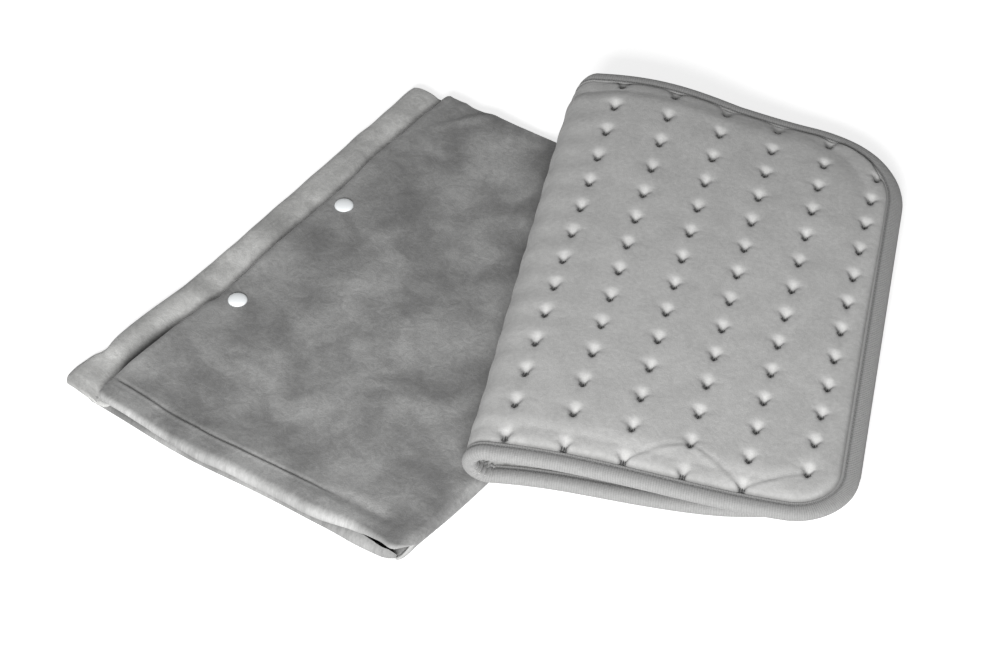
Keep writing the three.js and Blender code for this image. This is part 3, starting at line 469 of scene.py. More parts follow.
    def fold_point(self, turn_share, offset, y):
        """A half circle round the tunnel, from the lower half (0) to the upper (1), less deep at the rear."""
        round_end, long_taper, front_full = 0.018, 0.03, 0.13
        stack = self.stack(0.0, y)
        middle = self.bed(0.0, y) + 2 * stack + self.pad.fold_gap / 2
        radius = stack + self.pad.fold_gap / 2 + offset
        angle = -math.pi / 2 - turn_share * math.pi
        past = np.clip((y - self.half_length + round_end) / round_end, 0, 1)
        deep = 1.0 - self.pad.fold_taper * (1.0 - np.sqrt(1.0 - past * past))
        deep = deep - long_taper * climb(y - self.half_length, -0.070, 0.070)
        deep = deep + front_full * climb(-y - self.half_length, -0.050, 0.050)
        x, z = radius * np.cos(angle) * deep, middle + radius * np.sin(angle)
        return self.laid(x, y, z, 2.0 * turn_share - 1.0)


class CoverForm:
    """The cover as functions of p, from its mouth to its fold, and q, along the mouth from its middle."""

    def __init__(self, cover, pad):
        self.cover = cover
        self.origin = pad.origin
        self.thickness = 4 * cover.cloth + 3 * cover.clearance
        self.fold = self.thickness / 2
        self.hinge = cover.strip + cover.flap
        self.back_top = 3 * cover.cloth + 2 * cover.clearance
        self.flap_low = self.back_top + cover.snap_rise
        self.flap_top = self.flap_low + cover.cloth
        self.half_length = cover.length / 2
        pair = np.array([-0.5, 0.5]) * cover.snap_spacing
        self.snaps = cover.snap_shift + pair
        self.snap_p = cover.strip + cover.snap_margin
        self.back_end = cover.strip + 0.008

    def turned(self, x, y, z):
        """The cover's own axes turned and moved to its place under the pad."""
        cos, sin = math.cos(self.cover.turn), math.sin(self.cover.turn)
        left = self.cover.place_x + self.origin[0]
        front = self.cover.place_y + self.origin[1]
        return np.stack(np.broadcast_arrays(left + x * cos - y * sin, front + x * sin + y * cos, z), -1)

    def side_share(self, p, q):
        """Share of the height that is left towards the sides: the rear one drops, the front one swells."""
        cover = self.cover
        inward = self.half_length - np.abs(q)
        drop = cover.side_drop * (1.0 - smooth((inward + 0.006) / cover.side_roll))
        behind = climb(p, self.hinge, cover.ramp)
        from_side = climb(inward, cover.side_roll / 2, 1.5 * cover.side_roll)
        swell = cover.side_swell * behind * (1.0 - from_side)
        return np.where(q > 0, 1.0 - drop, 1.0 + swell)

    def laid(self, p, q, z, rise=0.0):
        """Points in the frame: corners round at the mouth, heights shared out at the sides, a rise added."""
        cover = self.cover
        near = np.clip(1.0 - (self.half_length - np.abs(q)) / cover.corner, 0, 1)
        inset = cover.corner * (1.0 - np.sqrt(1.0 - near * near))
        across = p + inset * np.maximum(0.0, 1.0 - p / cover.strip) - cover.width / 2
        drawn = 0.0018 * climb(-q, 0.115, 0.040) - 0.0022 * bell(q, -0.085, 0.035)
        across = across - drawn * smooth((p - cover.width + 0.060) / 0.060)
        return self.turned(across, q, z * self.side_share(p, q) + rise)

    def front_margin(self, p):
        """How far the front side lies in: two bells bow it out, and a circle rounds its far corner."""
        bow = -0.0033 * bell(p, 0.085, 0.045) - 0.0012 * bell(p, 0.207, 0.014)
        radius = self.cover.far_corner
        past = np.clip((p - self.cover.width + radius) / radius, 0, 1)
        return bow + radius * (1.0 - np.sqrt(1.0 - past * past))

    def recess(self, p):
        """How far the top draws back from the lip below it towards the far corner, where a slit opens."""
        return 0.0048 * climb(p, 0.168, 0.046) * fade(p, 0.2360, 0.0130)

    def slit(self, p):
        """0 along the front side, easing to 1 near the far corner, where the layers stand apart."""
        return climb(p, 0.199, 0.012)

    def under_painted_shade_and_light(self, p):
        """Painted light on the under side: painted shade in the slit, and painted light again inside the bend at
        the slit's end.
        """
        return 1.85 * climb(p, 0.2270, 0.0070) - 0.85 * self.slit(p)

    def rear_margin(self, p):
        """How far the rear side lies inside the length: more by the mouth than behind the flap."""
        return 0.0042 * fade(p, 0.105, 0.060) - 0.0022 * climb(p, 0.070, 0.045)

    def flap_edge(self, q):
        """Shift of the flap's free edge towards the mouth, which grows in two steps to the front."""
        shift = 0.0012 + 0.0028 * climb(-q, 0.066, 0.008) + 0.0035 * climb(-q, 0.105, 0.040)
        return -shift + 0.0005 * wander(q, 0 * q, 0.035, 11)

    def seam(self, p, q):
        """The seam along the front side: a thin bell as groove and one as ridge, then a wide one by the fold."""
        line = -0.1520 - 0.0036 * np.cos(2.0 * math.pi * (p - 0.088) / 0.26)
        start = climb(p, self.cover.strip, 0.006)
        soft = climb(p, 0.150, 0.040)
        thin = -0.0010 * bell(q, line, 0.0012) + 0.0006 * bell(q - line, -0.0021, 0.0012)
        valley = -0.0019 * bell(q, line, 0.0050)
        return start * (thin * (1.0 - soft) + valley * soft)

    def crease(self, p, q):
        """A wedge by the rear side behind the flap: an eased slope down to the rear from two bells as ridges."""
        line = 0.1429 + (p - 0.0459) / 0.856
        behind = climb(p, 0.0400, 0.010)
        near = climb(p, 0.038, 0.008) * fade(p, 0.068, 0.016)
        ridge = 0.0012 * bump((q - line + 0.0030) / 0.0042) * near
        side = 0.0006 * bell(p, 0.0420, 0.0022) * climb(q, 0.138, 0.008)
        return ridge + side - 0.0015 * climb(q, line, 0.010) * behind * fade(p, 0.085, 0.030)

    def clear_of_pad(self, p, q):
        """1 where the cover lies open to view, easing to 0 where the pad lies on it."""
        place = self.turned(p - self.cover.width / 2, q, 0.0 * p)
        return smooth((self.origin[0] - 0.024 - place[..., 0]) / 0.030)


# Meshes


def grid_faces(rows, columns, wrap):
    """Four corners of each cell of a grid of points, with the columns joined round where wrap is set."""
    i, j = np.meshgrid(np.arange(rows - 1), np.arange(columns if wrap else columns - 1), indexing="ij")
    k = (j + 1) % columns
    corners = [i * columns + j, i * columns + k, (i + 1) * columns + k, (i + 1) * columns + j]
    return np.stack(corners, -1).reshape(-1, 4)


def end_faces(columns, first):
    """Faces that close one ring of an even number of points, each point joined to the one across."""
    half = np.arange(columns // 2 - 1)
    across = columns - 1 - half
    return first + np.stack([half, half + 1, across - 1, across], -1)


def tube_faces(rows, columns):
    """Faces of a row of rings, with both ends closed."""
    ends = [end_faces(columns, 0), end_faces(columns, (rows - 1) * columns)[:, ::-1]]
    return np.concatenate([grid_faces(rows, columns, True), ends[0], ends[1]])


def facing_out(points, faces):
    """The faces, turned round together if the volume that they enclose comes out negative."""
    a, b, c, d = (points[faces[:, k]] for k in range(4))
    volume = (a * np.cross(b, c)).sum() + (a * np.cross(c, d)).sum()
    return faces if volume > 0 else faces[:, ::-1]


def new_piece(name, points, faces, finish, plan=None, crease=62.0):
    """A mesh object from points and four-cornered faces, smooth but for edges past the crease angle."""
    points = points.reshape(-1, 3)
    faces = facing_out(points, faces)
    mesh = bpy.data.meshes.new(name)
    mesh.vertices.add(len(points))
    mesh.vertices.foreach_set("co", points.astype(np.float32).ravel())
    mesh.loops.add(4 * len(faces))
    mesh.loops.foreach_set("vertex_index", faces.astype(np.int32).ravel())
    mesh.polygons.add(len(faces))
    mesh.polygons.foreach_set("loop_start", np.arange(0, 4 * len(faces), 4, dtype=np.int32))
    mesh.update(calc_edges=True)
    if plan is not None:
        layer = mesh.uv_layers.new(name="Cloth")
        layer.data.foreach_set("uv", plan.reshape(-1, 2)[faces].astype(np.float32).ravel())
    mesh.validate()
    mesh.shade_smooth()
    mesh.set_sharp_from_angle(angle=math.radians(crease))
    mesh.materials.append(finish)
    piece = bpy.data.objects.new(name, mesh)
    bpy.context.scene.collection.objects.link(piece)
    return piece


def closed_sheet(name, outer, under, plan, finish, mark=None):
    """A closed sheet from the grids of its two sides, joined round all four edges.

    mark is the name of a number at each point, with its grids on the outer and on the under side.
    """
    rings = np.concatenate([outer, under[:, ::-1]], 1)
    marks = np.concatenate([plan, plan[:, ::-1]], 1)
    piece = new_piece(name, rings, tube_faces(*rings.shape[:2]), finish, marks)
    if mark is not None:
        layer = piece.data.attributes.new(mark[0], "FLOAT", "POINT")
        both = np.concatenate([mark[1], np.broadcast_to(mark[2], mark[1].shape)[:, ::-1]], 1)
        layer.data.foreach_set("value", both.astype(np.float32).ravel())
    return piece


def run_length(points):
    """Length along the second last axis of a grid of points, from its start."""
    steps = np.linalg.norm(np.diff(points, axis=-2), axis=-1)
    return np.concatenate([np.zeros(steps.shape[:-1] + (1,)), np.cumsum(steps, -1)], -1)


def threads(name, paths, radius, finish):
    """Short lengths of thread: a square section, thinner at both ends, carried along each path."""
    paths = np.asarray(paths)
    number, steps = paths.shape[:2]
    along = np.gradient(paths, axis=1)
    along /= np.linalg.norm(along, axis=-1, keepdims=True)
    across = np.cross(along, [0.0, 0.0, 1.0])
    across /= np.linalg.norm(across, axis=-1, keepdims=True) + 1e-12
    up = np.cross(across, along)
    taper = radius * np.sqrt(np.clip(1.0 - np.linspace(-0.96, 0.96, steps) ** 4, 0.05, 1.0))
    sides = np.stack([across, up, -across, -up], 2) * taper[None, :, None, None]
    rings = (paths[:, :, None, :] + sides).reshape(number, -1, 3)
    faces = tube_faces(steps, 4)
    shift = np.arange(number)[:, None, None] * steps * 4
    return new_piece(name, rings, (faces[None] + shift).reshape(-1, 4), finish, crease=95.0)


# Finishes


def add_node(tree, kind, links=None, **settings):
    """A node with its settings and inputs; an input is a value or another node's output."""
    node = tree.nodes.new(kind)
    for key, value in settings.items():
        setattr(node, key, value)
    for key, value in (links or {}).items():
        if isinstance(value, bpy.types.NodeSocket):
            tree.links.new(value, node.inputs[key])
        else:
            node.inputs[key].default_value = value
    return node


def new_group(name, outputs, **numbers):
    """An empty shader group with a place and numbers as inputs, and with number outputs."""
    tree = bpy.data.node_groups.new(name, "ShaderNodeTree")
    tree.interface.new_socket("Place", in_out="INPUT", socket_type="NodeSocketVector")
    for label, default in numbers.items():
        socket = tree.interface.new_socket(label, in_out="INPUT", socket_type="NodeSocketFloat")
        socket.default_value = default
    for label in outputs:
        tree.interface.new_socket(label, in_out="OUTPUT", socket_type="NodeSocketFloat")
    return tree, tree.nodes.new("NodeGroupInput").outputs, tree.nodes.new("NodeGroupOutput").inputs


def math_node(tree, operation, first, second=0.0):
    """One operation on two numbers or outputs."""
    return add_node(tree, "ShaderNodeMath", {0: first, 1: second}, operation=operation).outputs[0]


def times(tree, first, second):
    """The product of two numbers or outputs."""
    return math_node(tree, "MULTIPLY", first, second)


def plus(tree, first, second):
    """The sum of two numbers or outputs."""
    return math_node(tree, "ADD", first, second)


def ramp_node(tree, value, low, high):
    """A number eased from 0 at low to 1 at high."""
    links = {"Value": value, "From Min": low, "From Max": high}
    return add_node(tree, "ShaderNodeMapRange", links, interpolation_type="SMOOTHSTEP").outputs[0]


def noise_node(tree, place, scale, detail=2.0, rough=0.5, bend=0.0):
    """Soft noise at a scale in marks per metre."""
    links = {"Vector": place, "Scale": scale, "Detail": detail, "Roughness": rough, "Distortion": bend}
    return add_node(tree, "ShaderNodeTexNoise", links).outputs["Fac"]


def pile_group():
    """Pile: fine fibre noise over clumps a few times as wide, as a height and as a shade."""
    tree, given, out = new_group("Pile", ["Height", "Shade"], Fibres=1400.0, Clumps=320.0)
    fine = noise_node(tree, given["Place"], given["Fibres"], 3.0, 0.65)
    clump = noise_node(tree, given["Place"], given["Clumps"], 2.0, 0.55, 0.4)
    fine, clump = times(tree, fine, 0.55), times(tree, clump, 0.45)
    height = plus(tree, fine, clump)
    tree.links.new(height, out["Height"])
    tree.links.new(ramp_node(tree, height, 0.28, 0.72), out["Shade"])
    return tree


def crush_group():
    """Crush marks: bent noise at two sizes, drawn to soft-edged patches."""
    tree, given, out = new_group("Crush marks", ["Patches", "Streaks"], Patches=30.0, Bend=0.8)
    broad = noise_node(tree, given["Place"], given["Patches"], 2.0, 0.55, given["Bend"])
    tree.links.new(ramp_node(tree, broad, 0.28, 0.74), out["Patches"])
    rate = times(tree, given["Patches"], 4.5)
    finer = noise_node(tree, given["Place"], rate, 3.0, 0.6, 1.2)
    tree.links.new(ramp_node(tree, finer, 0.34, 0.70), out["Streaks"])
    return tree


def rib_group():
    """Rib knit: rounded ribs across the run of the cloth, with loops along each rib."""
    tree, given, out = new_group("Rib knit", ["Height", "Shade"], Pitch=0.0016)
    parts = add_node(tree, "ShaderNodeSeparateXYZ", {0: given["Place"]}).outputs
    wobble = times(tree, noise_node(tree, given["Place"], 160.0), 0.0012)
    turns = math_node(tree, "DIVIDE", plus(tree, parts[0], wobble), given["Pitch"])
    rib = math_node(tree, "ABSOLUTE", math_node(tree, "SINE", times(tree, turns, math.pi)))
    loops = math_node(tree, "DIVIDE", parts[1], given["Pitch"])
    loop = math_node(tree, "SINE", times(tree, loops, 2.0 * math.pi * 1.3))
    height = plus(tree, rib, times(tree, loop, 0.14))
    tree.links.new(height, out["Height"])
    tree.links.new(ramp_node(tree, height, 0.0, 1.0), out["Shade"])
    return tree


def grain_group():
    """Moulded grain: fine noise as a height and slow noise as a shade, for plastic and metal."""
    tree, given, out = new_group("Moulded grain", ["Height", "Shade"], Grain=2500.0)
    tree.links.new(noise_node(tree, given["Place"], given["Grain"], 3.0), out["Height"])
    slow = times(tree, given["Grain"], 0.06)
    tree.links.new(noise_node(tree, given["Place"], slow), out["Shade"])
    return tree


GROUPS = {
    "Pile": pile_group, "Crush marks": crush_group, "Rib knit": rib_group, "Moulded grain": grain_group,
}


def place_group(tree, name, place, **numbers):
    """A shared group, built once, set into a material."""
    group = bpy.data.node_groups.get(name) or GROUPS[name]()
    return add_node(tree, "ShaderNodeGroup", {"Place": place, **numbers}, node_tree=group).outputs


def new_finish(name, on_cloth, **sockets):
    """A material with its shader, and the place on it: the cloth's own map, or the piece's coordinates."""
    finish = bpy.data.materials.new(name)
    finish.use_nodes = True
    tree = finish.node_tree
    shader = tree.nodes["Principled BSDF"]
    for key, value in sockets.items():
        shader.inputs[key].default_value = value
    place = tree.nodes.new("ShaderNodeTexCoord").outputs["UV" if on_cloth else "Object"]
    return finish, tree, shader, place


def range_node(tree, value, low, high, start=0.0):
    """A number that goes from low to high while the value goes from a start to 1."""
    links = {"Value": value, "From Min": start, "To Min": low, "To Max": high}
    return add_node(tree, "ShaderNodeMapRange", links).outputs[0]


def mark_node(tree, name):
    """A number stored at the points of the piece."""
    return add_node(tree, "ShaderNodeAttribute", attribute_name=name).outputs["Fac"]


def shaded(tree, tone, *parts):
    """A colour times one factor for each part: its value, and what the factor is at 0 and at 1."""
    for value, low, high in parts:
        tone = math_colour(tree, tone, range_node(tree, value, low, high))
    return tone


def math_colour(tree, base, factor):
    """A colour times a number."""
    links = {0: base, "Scale": factor}
    if not isinstance(base, bpy.types.NodeSocket):
        links[0] = tuple(base)
    return add_node(tree, "ShaderNodeVectorMath", links, operation="SCALE").outputs[0]


def set_bump(tree, shader, height, strength, distance):
    """A bump from one height."""
    links = {"Height": height, "Strength": strength, "Distance": distance}
    tree.links.new(add_node(tree, "ShaderNodeBump", links).outputs[0], shader.inputs["Normal"])


SOFT = {"Specular IOR Level": 0.2}


def plush_finish(name, base):
    """Short plush: fibre specks, soft clumps and faint brushed patches, with painted shade under the tacks and
    in the seam, and painted highlight behind the tufts.
    """
    finish, tree, shader, place = new_finish(name, True, **SOFT, **{
        "Roughness": 0.95, "Sheen Weight": 0.15, "Sheen Roughness": 0.45})
    nap = place_group(tree, "Pile", place, Fibres=1500.0, Clumps=380.0)
    brushed = place_group(tree, "Crush marks", place, Patches=45.0)
    tone = shaded(
        tree, base, (nap["Shade"], 0.90, 1.10),
        (brushed["Patches"], 0.94, 1.05), (brushed["Streaks"], 0.97, 1.04))
    # Painted shade under the tacks and in the seam, painted highlight on the slope behind each tuft
    tone = math_colour(tree, tone, range_node(tree, mark_node(tree, "Pinch"), 1.45, 0.55, -1.0))
    tree.links.new(tone, shader.inputs["Base Color"])
    set_bump(tree, shader, nap["Height"], 0.6, 0.0006)
    return finish


def velvet_finish(name, base):
    """Crushed velvet: patches whose pile lies over, brush marks and fibres, painted highlight at a turned edge
    and painted shade where marked.
    """
    finish, tree, shader, place = new_finish(name, True, **SOFT, **{
        "Roughness": 0.9, "Sheen Weight": 0.25, "Sheen Roughness": 0.4})
    nap = place_group(tree, "Pile", place, Fibres=1300.0, Clumps=420.0)
    marks = place_group(tree, "Crush marks", place, Patches=24.0, Bend=0.5)
    tone = shaded(
        tree, base, (nap["Shade"], 0.84, 1.14),
        (marks["Patches"], 0.68, 1.28), (marks["Streaks"], 0.92, 1.08))
    # Painted highlight where the mark is above zero, painted shade where it is below zero
    turned = mark_node(tree, "Turned")
    light = times(tree, math_node(tree, "MAXIMUM", turned), 0.5)
    dark = times(tree, math_node(tree, "MINIMUM", turned), 0.86)
    tone = math_colour(tree, tone, plus(tree, plus(tree, light, dark), 1.0))
    tree.links.new(tone, shader.inputs["Base Color"])
    tree.links.new(range_node(tree, marks["Patches"], 0.84, 0.98), shader.inputs["Roughness"])
    height = plus(tree, nap["Height"], times(tree, marks["Streaks"], 0.3))
    set_bump(tree, shader, height, 0.7, 0.0006)
    return finish


def knit_finish(name, base):
    """Rib-knit binding: ribs across it, fuzz over them, darker between the ribs, and painted shade in its seam's
    groove.
    """
    finish, tree, shader, place = new_finish(name, True, **SOFT, **{"Roughness": 0.9, "Sheen Weight": 0.2})
    ribs = place_group(tree, "Rib knit", place, Pitch=0.0014)
    fuzz = place_group(tree, "Pile", place, Fibres=1800.0, Clumps=420.0)
    # Sewn holds painted shade in the seam's groove, which takes the colour down to half there
    sewn = mark_node(tree, "Sewn")
    tone = shaded(tree, base, (ribs["Shade"], 0.90, 1.06), (fuzz["Shade"], 0.86, 1.10), (sewn, 1.0, 0.50))
    tree.links.new(tone, shader.inputs["Base Color"])
    height = plus(tree, ribs["Height"], times(tree, fuzz["Height"], 0.7))
    set_bump(tree, shader, height, 0.6, 0.0003)
    return finish


def moulded_finish(name, base, rough, grain, depth, sockets=None):
    """Moulded plastic, felt or metal: a fine grain, and slow changes of tone and gloss."""
    finish, tree, shader, place = new_finish(name, False, **(sockets or {}))
    marks = place_group(tree, "Moulded grain", place, Grain=grain)
    tree.links.new(shaded(tree, base, (marks["Shade"], 0.93, 1.05)), shader.inputs["Base Color"])
    gloss = range_node(tree, marks["Shade"], rough * 0.85, rough * 1.15)
    tree.links.new(gloss, shader.inputs["Roughness"])
    set_bump(tree, shader, marks["Height"], 0.4, depth)
    return finish


def thread_finish(name, base):
    """Twisted thread: diagonal bands along the piece."""
    finish, tree, shader, place = new_finish(name, False, **{"Roughness": 0.8, "Sheen Weight": 0.2})
    links = {"Vector": place, "Scale": 420.0, "Distortion": 1.5}
    wave = add_node(tree, "ShaderNodeTexWave", links, bands_direction="DIAGONAL").outputs["Fac"]
    tree.links.new(shaded(tree, base, (wave, 0.75, 1.2)), shader.inputs["Base Color"])
    set_bump(tree, shader, wave, 0.5, 0.0002)
    return finish


GLOSS = {"Coat Weight": 0.4, "Coat Roughness": 0.12}
METAL = {"Metallic": 1.0}
FELTED = {"Sheen Weight": 0.3}
# Each finish: its name, its maker and what the maker takes after the name and the colour
FINISHES = {
    "plush": ("Plush", plush_finish),
    "knit": ("Rib knit binding", knit_finish),
    "velvet": ("Velvet", velvet_finish),
    "velvet_inside": ("Velvet inside", velvet_finish),
    "thread": ("Tuft thread", thread_finish),
    "seam": ("Seam thread", thread_finish),
    "snap": ("Snap plastic", moulded_finish, 0.24, 900.0, 0.00005, GLOSS),
    "shell": ("Inlet plastic", moulded_finish, 0.5, 3200.0, 0.00012),
    "insulator": ("Pin block", moulded_finish, 0.55, 2400.0, 0.00008),
    "felt": ("Carrier felt", moulded_finish, 0.95, 1500.0, 0.0004, FELTED),
    "sheath": ("Wire sheath", moulded_finish, 0.45, 1800.0, 0.00005),
    "brass": ("Brass", moulded_finish, 0.3, 4000.0, 0.00003, METAL),
    "steel": ("Thermostat steel", moulded_finish, 0.35, 3500.0, 0.00003, METAL),
}


def finish_of(key):
    """The finish of that key, made once from the scene's colours."""
    name, maker, *rest = FINISHES[key]
    known = bpy.data.materials.get(name)
    return known or maker(name, getattr(bpy.context.scene.pad_finishes, key), *rest)


# Pieces


def pad_form():
    """The pad's form from the scene's sizes."""
    return PadForm(bpy.context.scene.pad_sizes, bpy.context.scene.cover_sizes)


def cover_form():
    """The cover's form from the scene's sizes."""
    return CoverForm(bpy.context.scene.cover_sizes, pad_form())


CROWD_SAMPLES = 6001
CROWD_GAIN = 1.2
CROWD_REACH = 0.0055


def crowded(start, end, step, places):
    """Numbers from start to end, closer near some places: a running sum of bells, read backwards."""
    fine = np.linspace(start, end, CROWD_SAMPLES)
    crowd = 1.0 + CROWD_GAIN * bell(fine[:, None], np.asarray(places), CROWD_REACH).sum(-1)
    total = np.cumsum(crowd) - crowd[0]
    return np.interp(np.linspace(0, 1, round((end - start) / step)), total / total[-1], fine)


def lines_along(form):
    """Lines along the fold, close together at the corners, and how far each reaches from the fold."""
    step = form.pad.grid
    side = form.half_length - form.inset
    right = form.half_width - form.inset
    ends = []
    for end, corner in ((-1, form.pad.front_corner), (1, form.pad.rear_corner)):
        radius = corner - form.inset
        angle = np.linspace(math.pi / 2, 0, max(8, round(radius * math.pi / 2 / step)))[:-1]
        y = end * (side - radius + radius * np.sin(angle))
        ends.append((y, right - radius + radius * np.cos(angle), radius))
    (front_y, front_x, front), (rear_y, rear_x, rear) = ends
    middle_row = (form.pad.tuft_rows - 1) / 2
    rows = form.pad.tuft_shift + (np.arange(form.pad.tuft_rows) - middle_row) * form.row_pitch
    straight = crowded(front - side, side - rear, step, rows)
    y = np.concatenate([front_y, straight, rear_y[::-1]])
    reach = np.concatenate([front_x, np.full(len(straight), right), rear_x[::-1]])
    return y, reach


RIM_WIDTH = 0.018
RIM_LINES = 24


def pad_half(name, way, body, nodes):
    """One half of the pad: lines from the fold to the open edge on the outer face, back on the inner one."""
    form = pad_form()
    y, reach = lines_along(form)
    rim = form.half_width - RIM_WIDTH
    columns = form.pad.tuft_fold_margin + np.arange(form.pad.tuft_columns) * form.column_pitch
    across = crowded(0.0, rim, 1.1 * form.pad.grid, columns) / form.half_width
    across = np.concatenate([across, np.linspace(across[-1], 1, RIM_LINES)[1:]])
    x = reach[:, None] * across
    y = np.broadcast_to(y[:, None], x.shape)
    middle = form.middle(x, y, way)
    thick = form.outer(x, y) if way > 0 else form.flat_side(x, y)
    swell = form.bulge(x, y) if way > 0 else (0.0, 0.0)
    outer = form.laid(x + swell[0], y + swell[1], middle + way * thick, way)
    under = form.laid(x, y, middle - way * form.inner(x, y), way)
    # Painted shade under the tacks and in the seam, painted highlight behind the tufts
    pinch = form.pinch(x, y)
    plan = np.stack([way * x, y], -1)
    piece = closed_sheet(name, outer, under, plan, finish_of("plush"), ("Pinch", pinch, 0.0))
    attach(piece, body)
    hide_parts(*nodes)


class PADLOOK_OT_halves(bpy.types.Operator):
    """Make the tufted plush of the upper and the lower half"""

    bl_idname = "padlook.halves"
    bl_label = "Plush halves"

    def execute(self, context):
        pad_half("pad_upper_plush", 1, "pad_upper", ["pad_upper_face", "pad_upper_lining"])
        pad_half("pad_lower_plush", -1, "pad_lower", ["pad_lower_face", "pad_lower_lining"])
        return {"FINISHED"}


FOLD_LINES = 44
FOLD_RINGS = 97


def bend_with_fold(piece):
    """Bake the world place of a piece of the fold into its mesh."""
    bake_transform(piece)


class PADLOOK_OT_fold(bpy.types.Operator):
    """Make the plush that runs round the fold, and hide the felt and wire inside it"""

    bl_idname = "padlook.fold"
    bl_label = "Plush fold"

    def execute(self, context):
        form = pad_form()
        y, _ = lines_along(form)
        turns = np.linspace(0, 1, FOLD_LINES)[None, :]
        y = np.broadcast_to(y[:, None], (len(y), FOLD_LINES))
        around = math.pi * form.fold_radius
        low = form.flat_side(-around * turns + 0 * y, y)
        high = form.outer(-around * (1 - turns) + 0 * y, y)
        swell = form.bulge(0 * y, y)[1] * climb(turns, 0.4, 0.6)
        outer = form.fold_point(turns, low + (high - low) * smooth(turns / 0.6), y + swell)
        under = form.fold_point(turns, -form.inner(0 * y, y), y)
        plan = np.stack([np.broadcast_to(-around * (1 - turns), y.shape), y], -1)
        # Painted shade under the tacks and in the seam, painted highlight behind the tufts
        pinch = form.pinch(plan[..., 0], y)
        look = ("Pinch", pinch, 0.0)
        piece = closed_sheet("pad_fold_plush", outer, under, plan, finish_of("plush"), look)
        bend_with_fold(piece)
        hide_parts("pad_fold_face", "pad_fold_lining", "pad_fold_carrier", "pad_fold_wire")
        return {"FINISHED"}


# Section of the binding from its inner edge on the upper side to its middle, in millimetres:
# distance in from the edge, and height from the middle
BINDING_SECTION = np.array([
    (9.6, 2.30), (10.2, 2.38), (10.35, 2.65), (10.0, 3.00), (9.4, 3.14), (8.8, 2.94),
    (8.3, 2.66), (7.7, 2.84), (6.8, 3.36), (5.6, 3.64), (4.2, 3.72), (2.9, 3.56),
    (1.8, 3.15), (0.9, 2.45), (0.3, 1.55), (0.05, 0.75),
]) * MM
GROOVE = 8.3 * MM
GROOVE_WIDTH = 0.7 * MM
GROOVE_HEIGHT = 2.72 * MM
BINDING_STEP = 0.0018
STITCH_STEP = 0.0006
STITCH_ARCH = 0.00012


def binding_ring():
    """The whole section: the upper side, the lower side and the hollow that the plush lies in."""
    lower = BINDING_SECTION[::-1] * [1, -1]
    hollow = np.array([(8.6, -2.28), (5.0, -2.2), (1.4, -2.2), (1.4, 2.2), (5.0, 2.2), (8.6, 2.28)]) * MM
    return np.concatenate([BINDING_SECTION, lower, hollow])


def paint_seam_shade(piece, ring, lines):
    """Paint shade into the groove that the binding is sewn in: a bell on the upper side."""
    on_top = np.arange(len(ring)) < len(BINDING_SECTION)
    groove = bell(ring[:, 0], GROOVE, GROOVE_WIDTH) * on_top
    layer = piece.data.attributes.new("Sewn", "FLOAT", "POINT")
    layer.data.foreach_set("value", np.tile(groove, lines).astype(np.float32))


def binding_path(form, step=BINDING_STEP):
    """Points round the open edges from the fold and back to it, with the way in from the edge at each."""
    ends = []
    for end, corner in ((-1, form.pad.front_corner), (1, form.pad.rear_corner)):
        side, right = form.half_length - corner, form.half_width - corner
        run = np.linspace(0, right, round(right / step))[:-1]
        angle = np.linspace(math.pi / 2, 0, round(corner * math.pi / 2 / step))
        cos, sin = np.cos(angle), np.sin(angle)
        edge = np.stack([run, np.full_like(run, end * form.half_length), 0 * run, 0 * run - end], -1)
        bend = np.stack([right + corner * cos, end * (side + corner * sin), -cos, -end * sin], -1)
        ends.append(np.concatenate([edge, bend]))
    low, high = form.pad.front_corner - form.half_length, form.half_length - form.pad.rear_corner
    open_y = np.linspace(low, high, round((high - low) / step))[1:-1]
    open_edge = np.stack([np.full_like(open_y, form.half_width), open_y, -1 + 0 * open_y, 0 * open_y], -1)
    return np.concatenate([ends[0], open_edge, ends[1][::-1]])


def laid_down(path, ring, way):
    """Heights of the section: by the rear and open edges the upper side slopes off, one in three."""
    if way < 0:
        return np.broadcast_to(ring[:, 1], (len(path), len(ring)))
    hollow = np.arange(len(ring)) >= 2 * len(BINDING_SECTION)
    slope = np.minimum(ring[:, 1], BINDING_SLOPE * ring[:, 0] + np.where(hollow, -0.00025, 0.00015))
    away = np.clip(np.maximum(-0.35 * path[:, 3:4], -0.60 * path[:, 2:3]), 0, 1)
    return ring[:, 1] + away * (slope - ring[:, 1]) * (ring[:, 1] > 0)


def binding_round(name, way, body, node):
    """The binding of one half: the section carried round the open edges, a little fuller here and there."""
    form = pad_form()
    path = binding_path(form)
    ring = binding_ring()
    along = run_length(path[:, :2])
    full = 1.0 + 0.035 * wander(along, 0 * along, 0.05, 7 + way)[:, None]
    x = path[:, 0:1] + path[:, 2:3] * ring[:, 0]
    y = path[:, 1:2] + path[:, 3:4] * ring[:, 0]
    z = form.middle(x, y, way) + laid_down(path, ring, way) * np.minimum(full, 1.02)
    section = run_length(ring)
    plan = np.stack(np.broadcast_arrays(along[:, None], section[None, :]), -1)
    points = form.laid(x, y, z, way)
    piece = new_piece(name, points, tube_faces(*points.shape[:2]), finish_of("knit"), plan)
    paint_seam_shade(piece, ring, len(points))
    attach(piece, body)
    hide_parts(node)


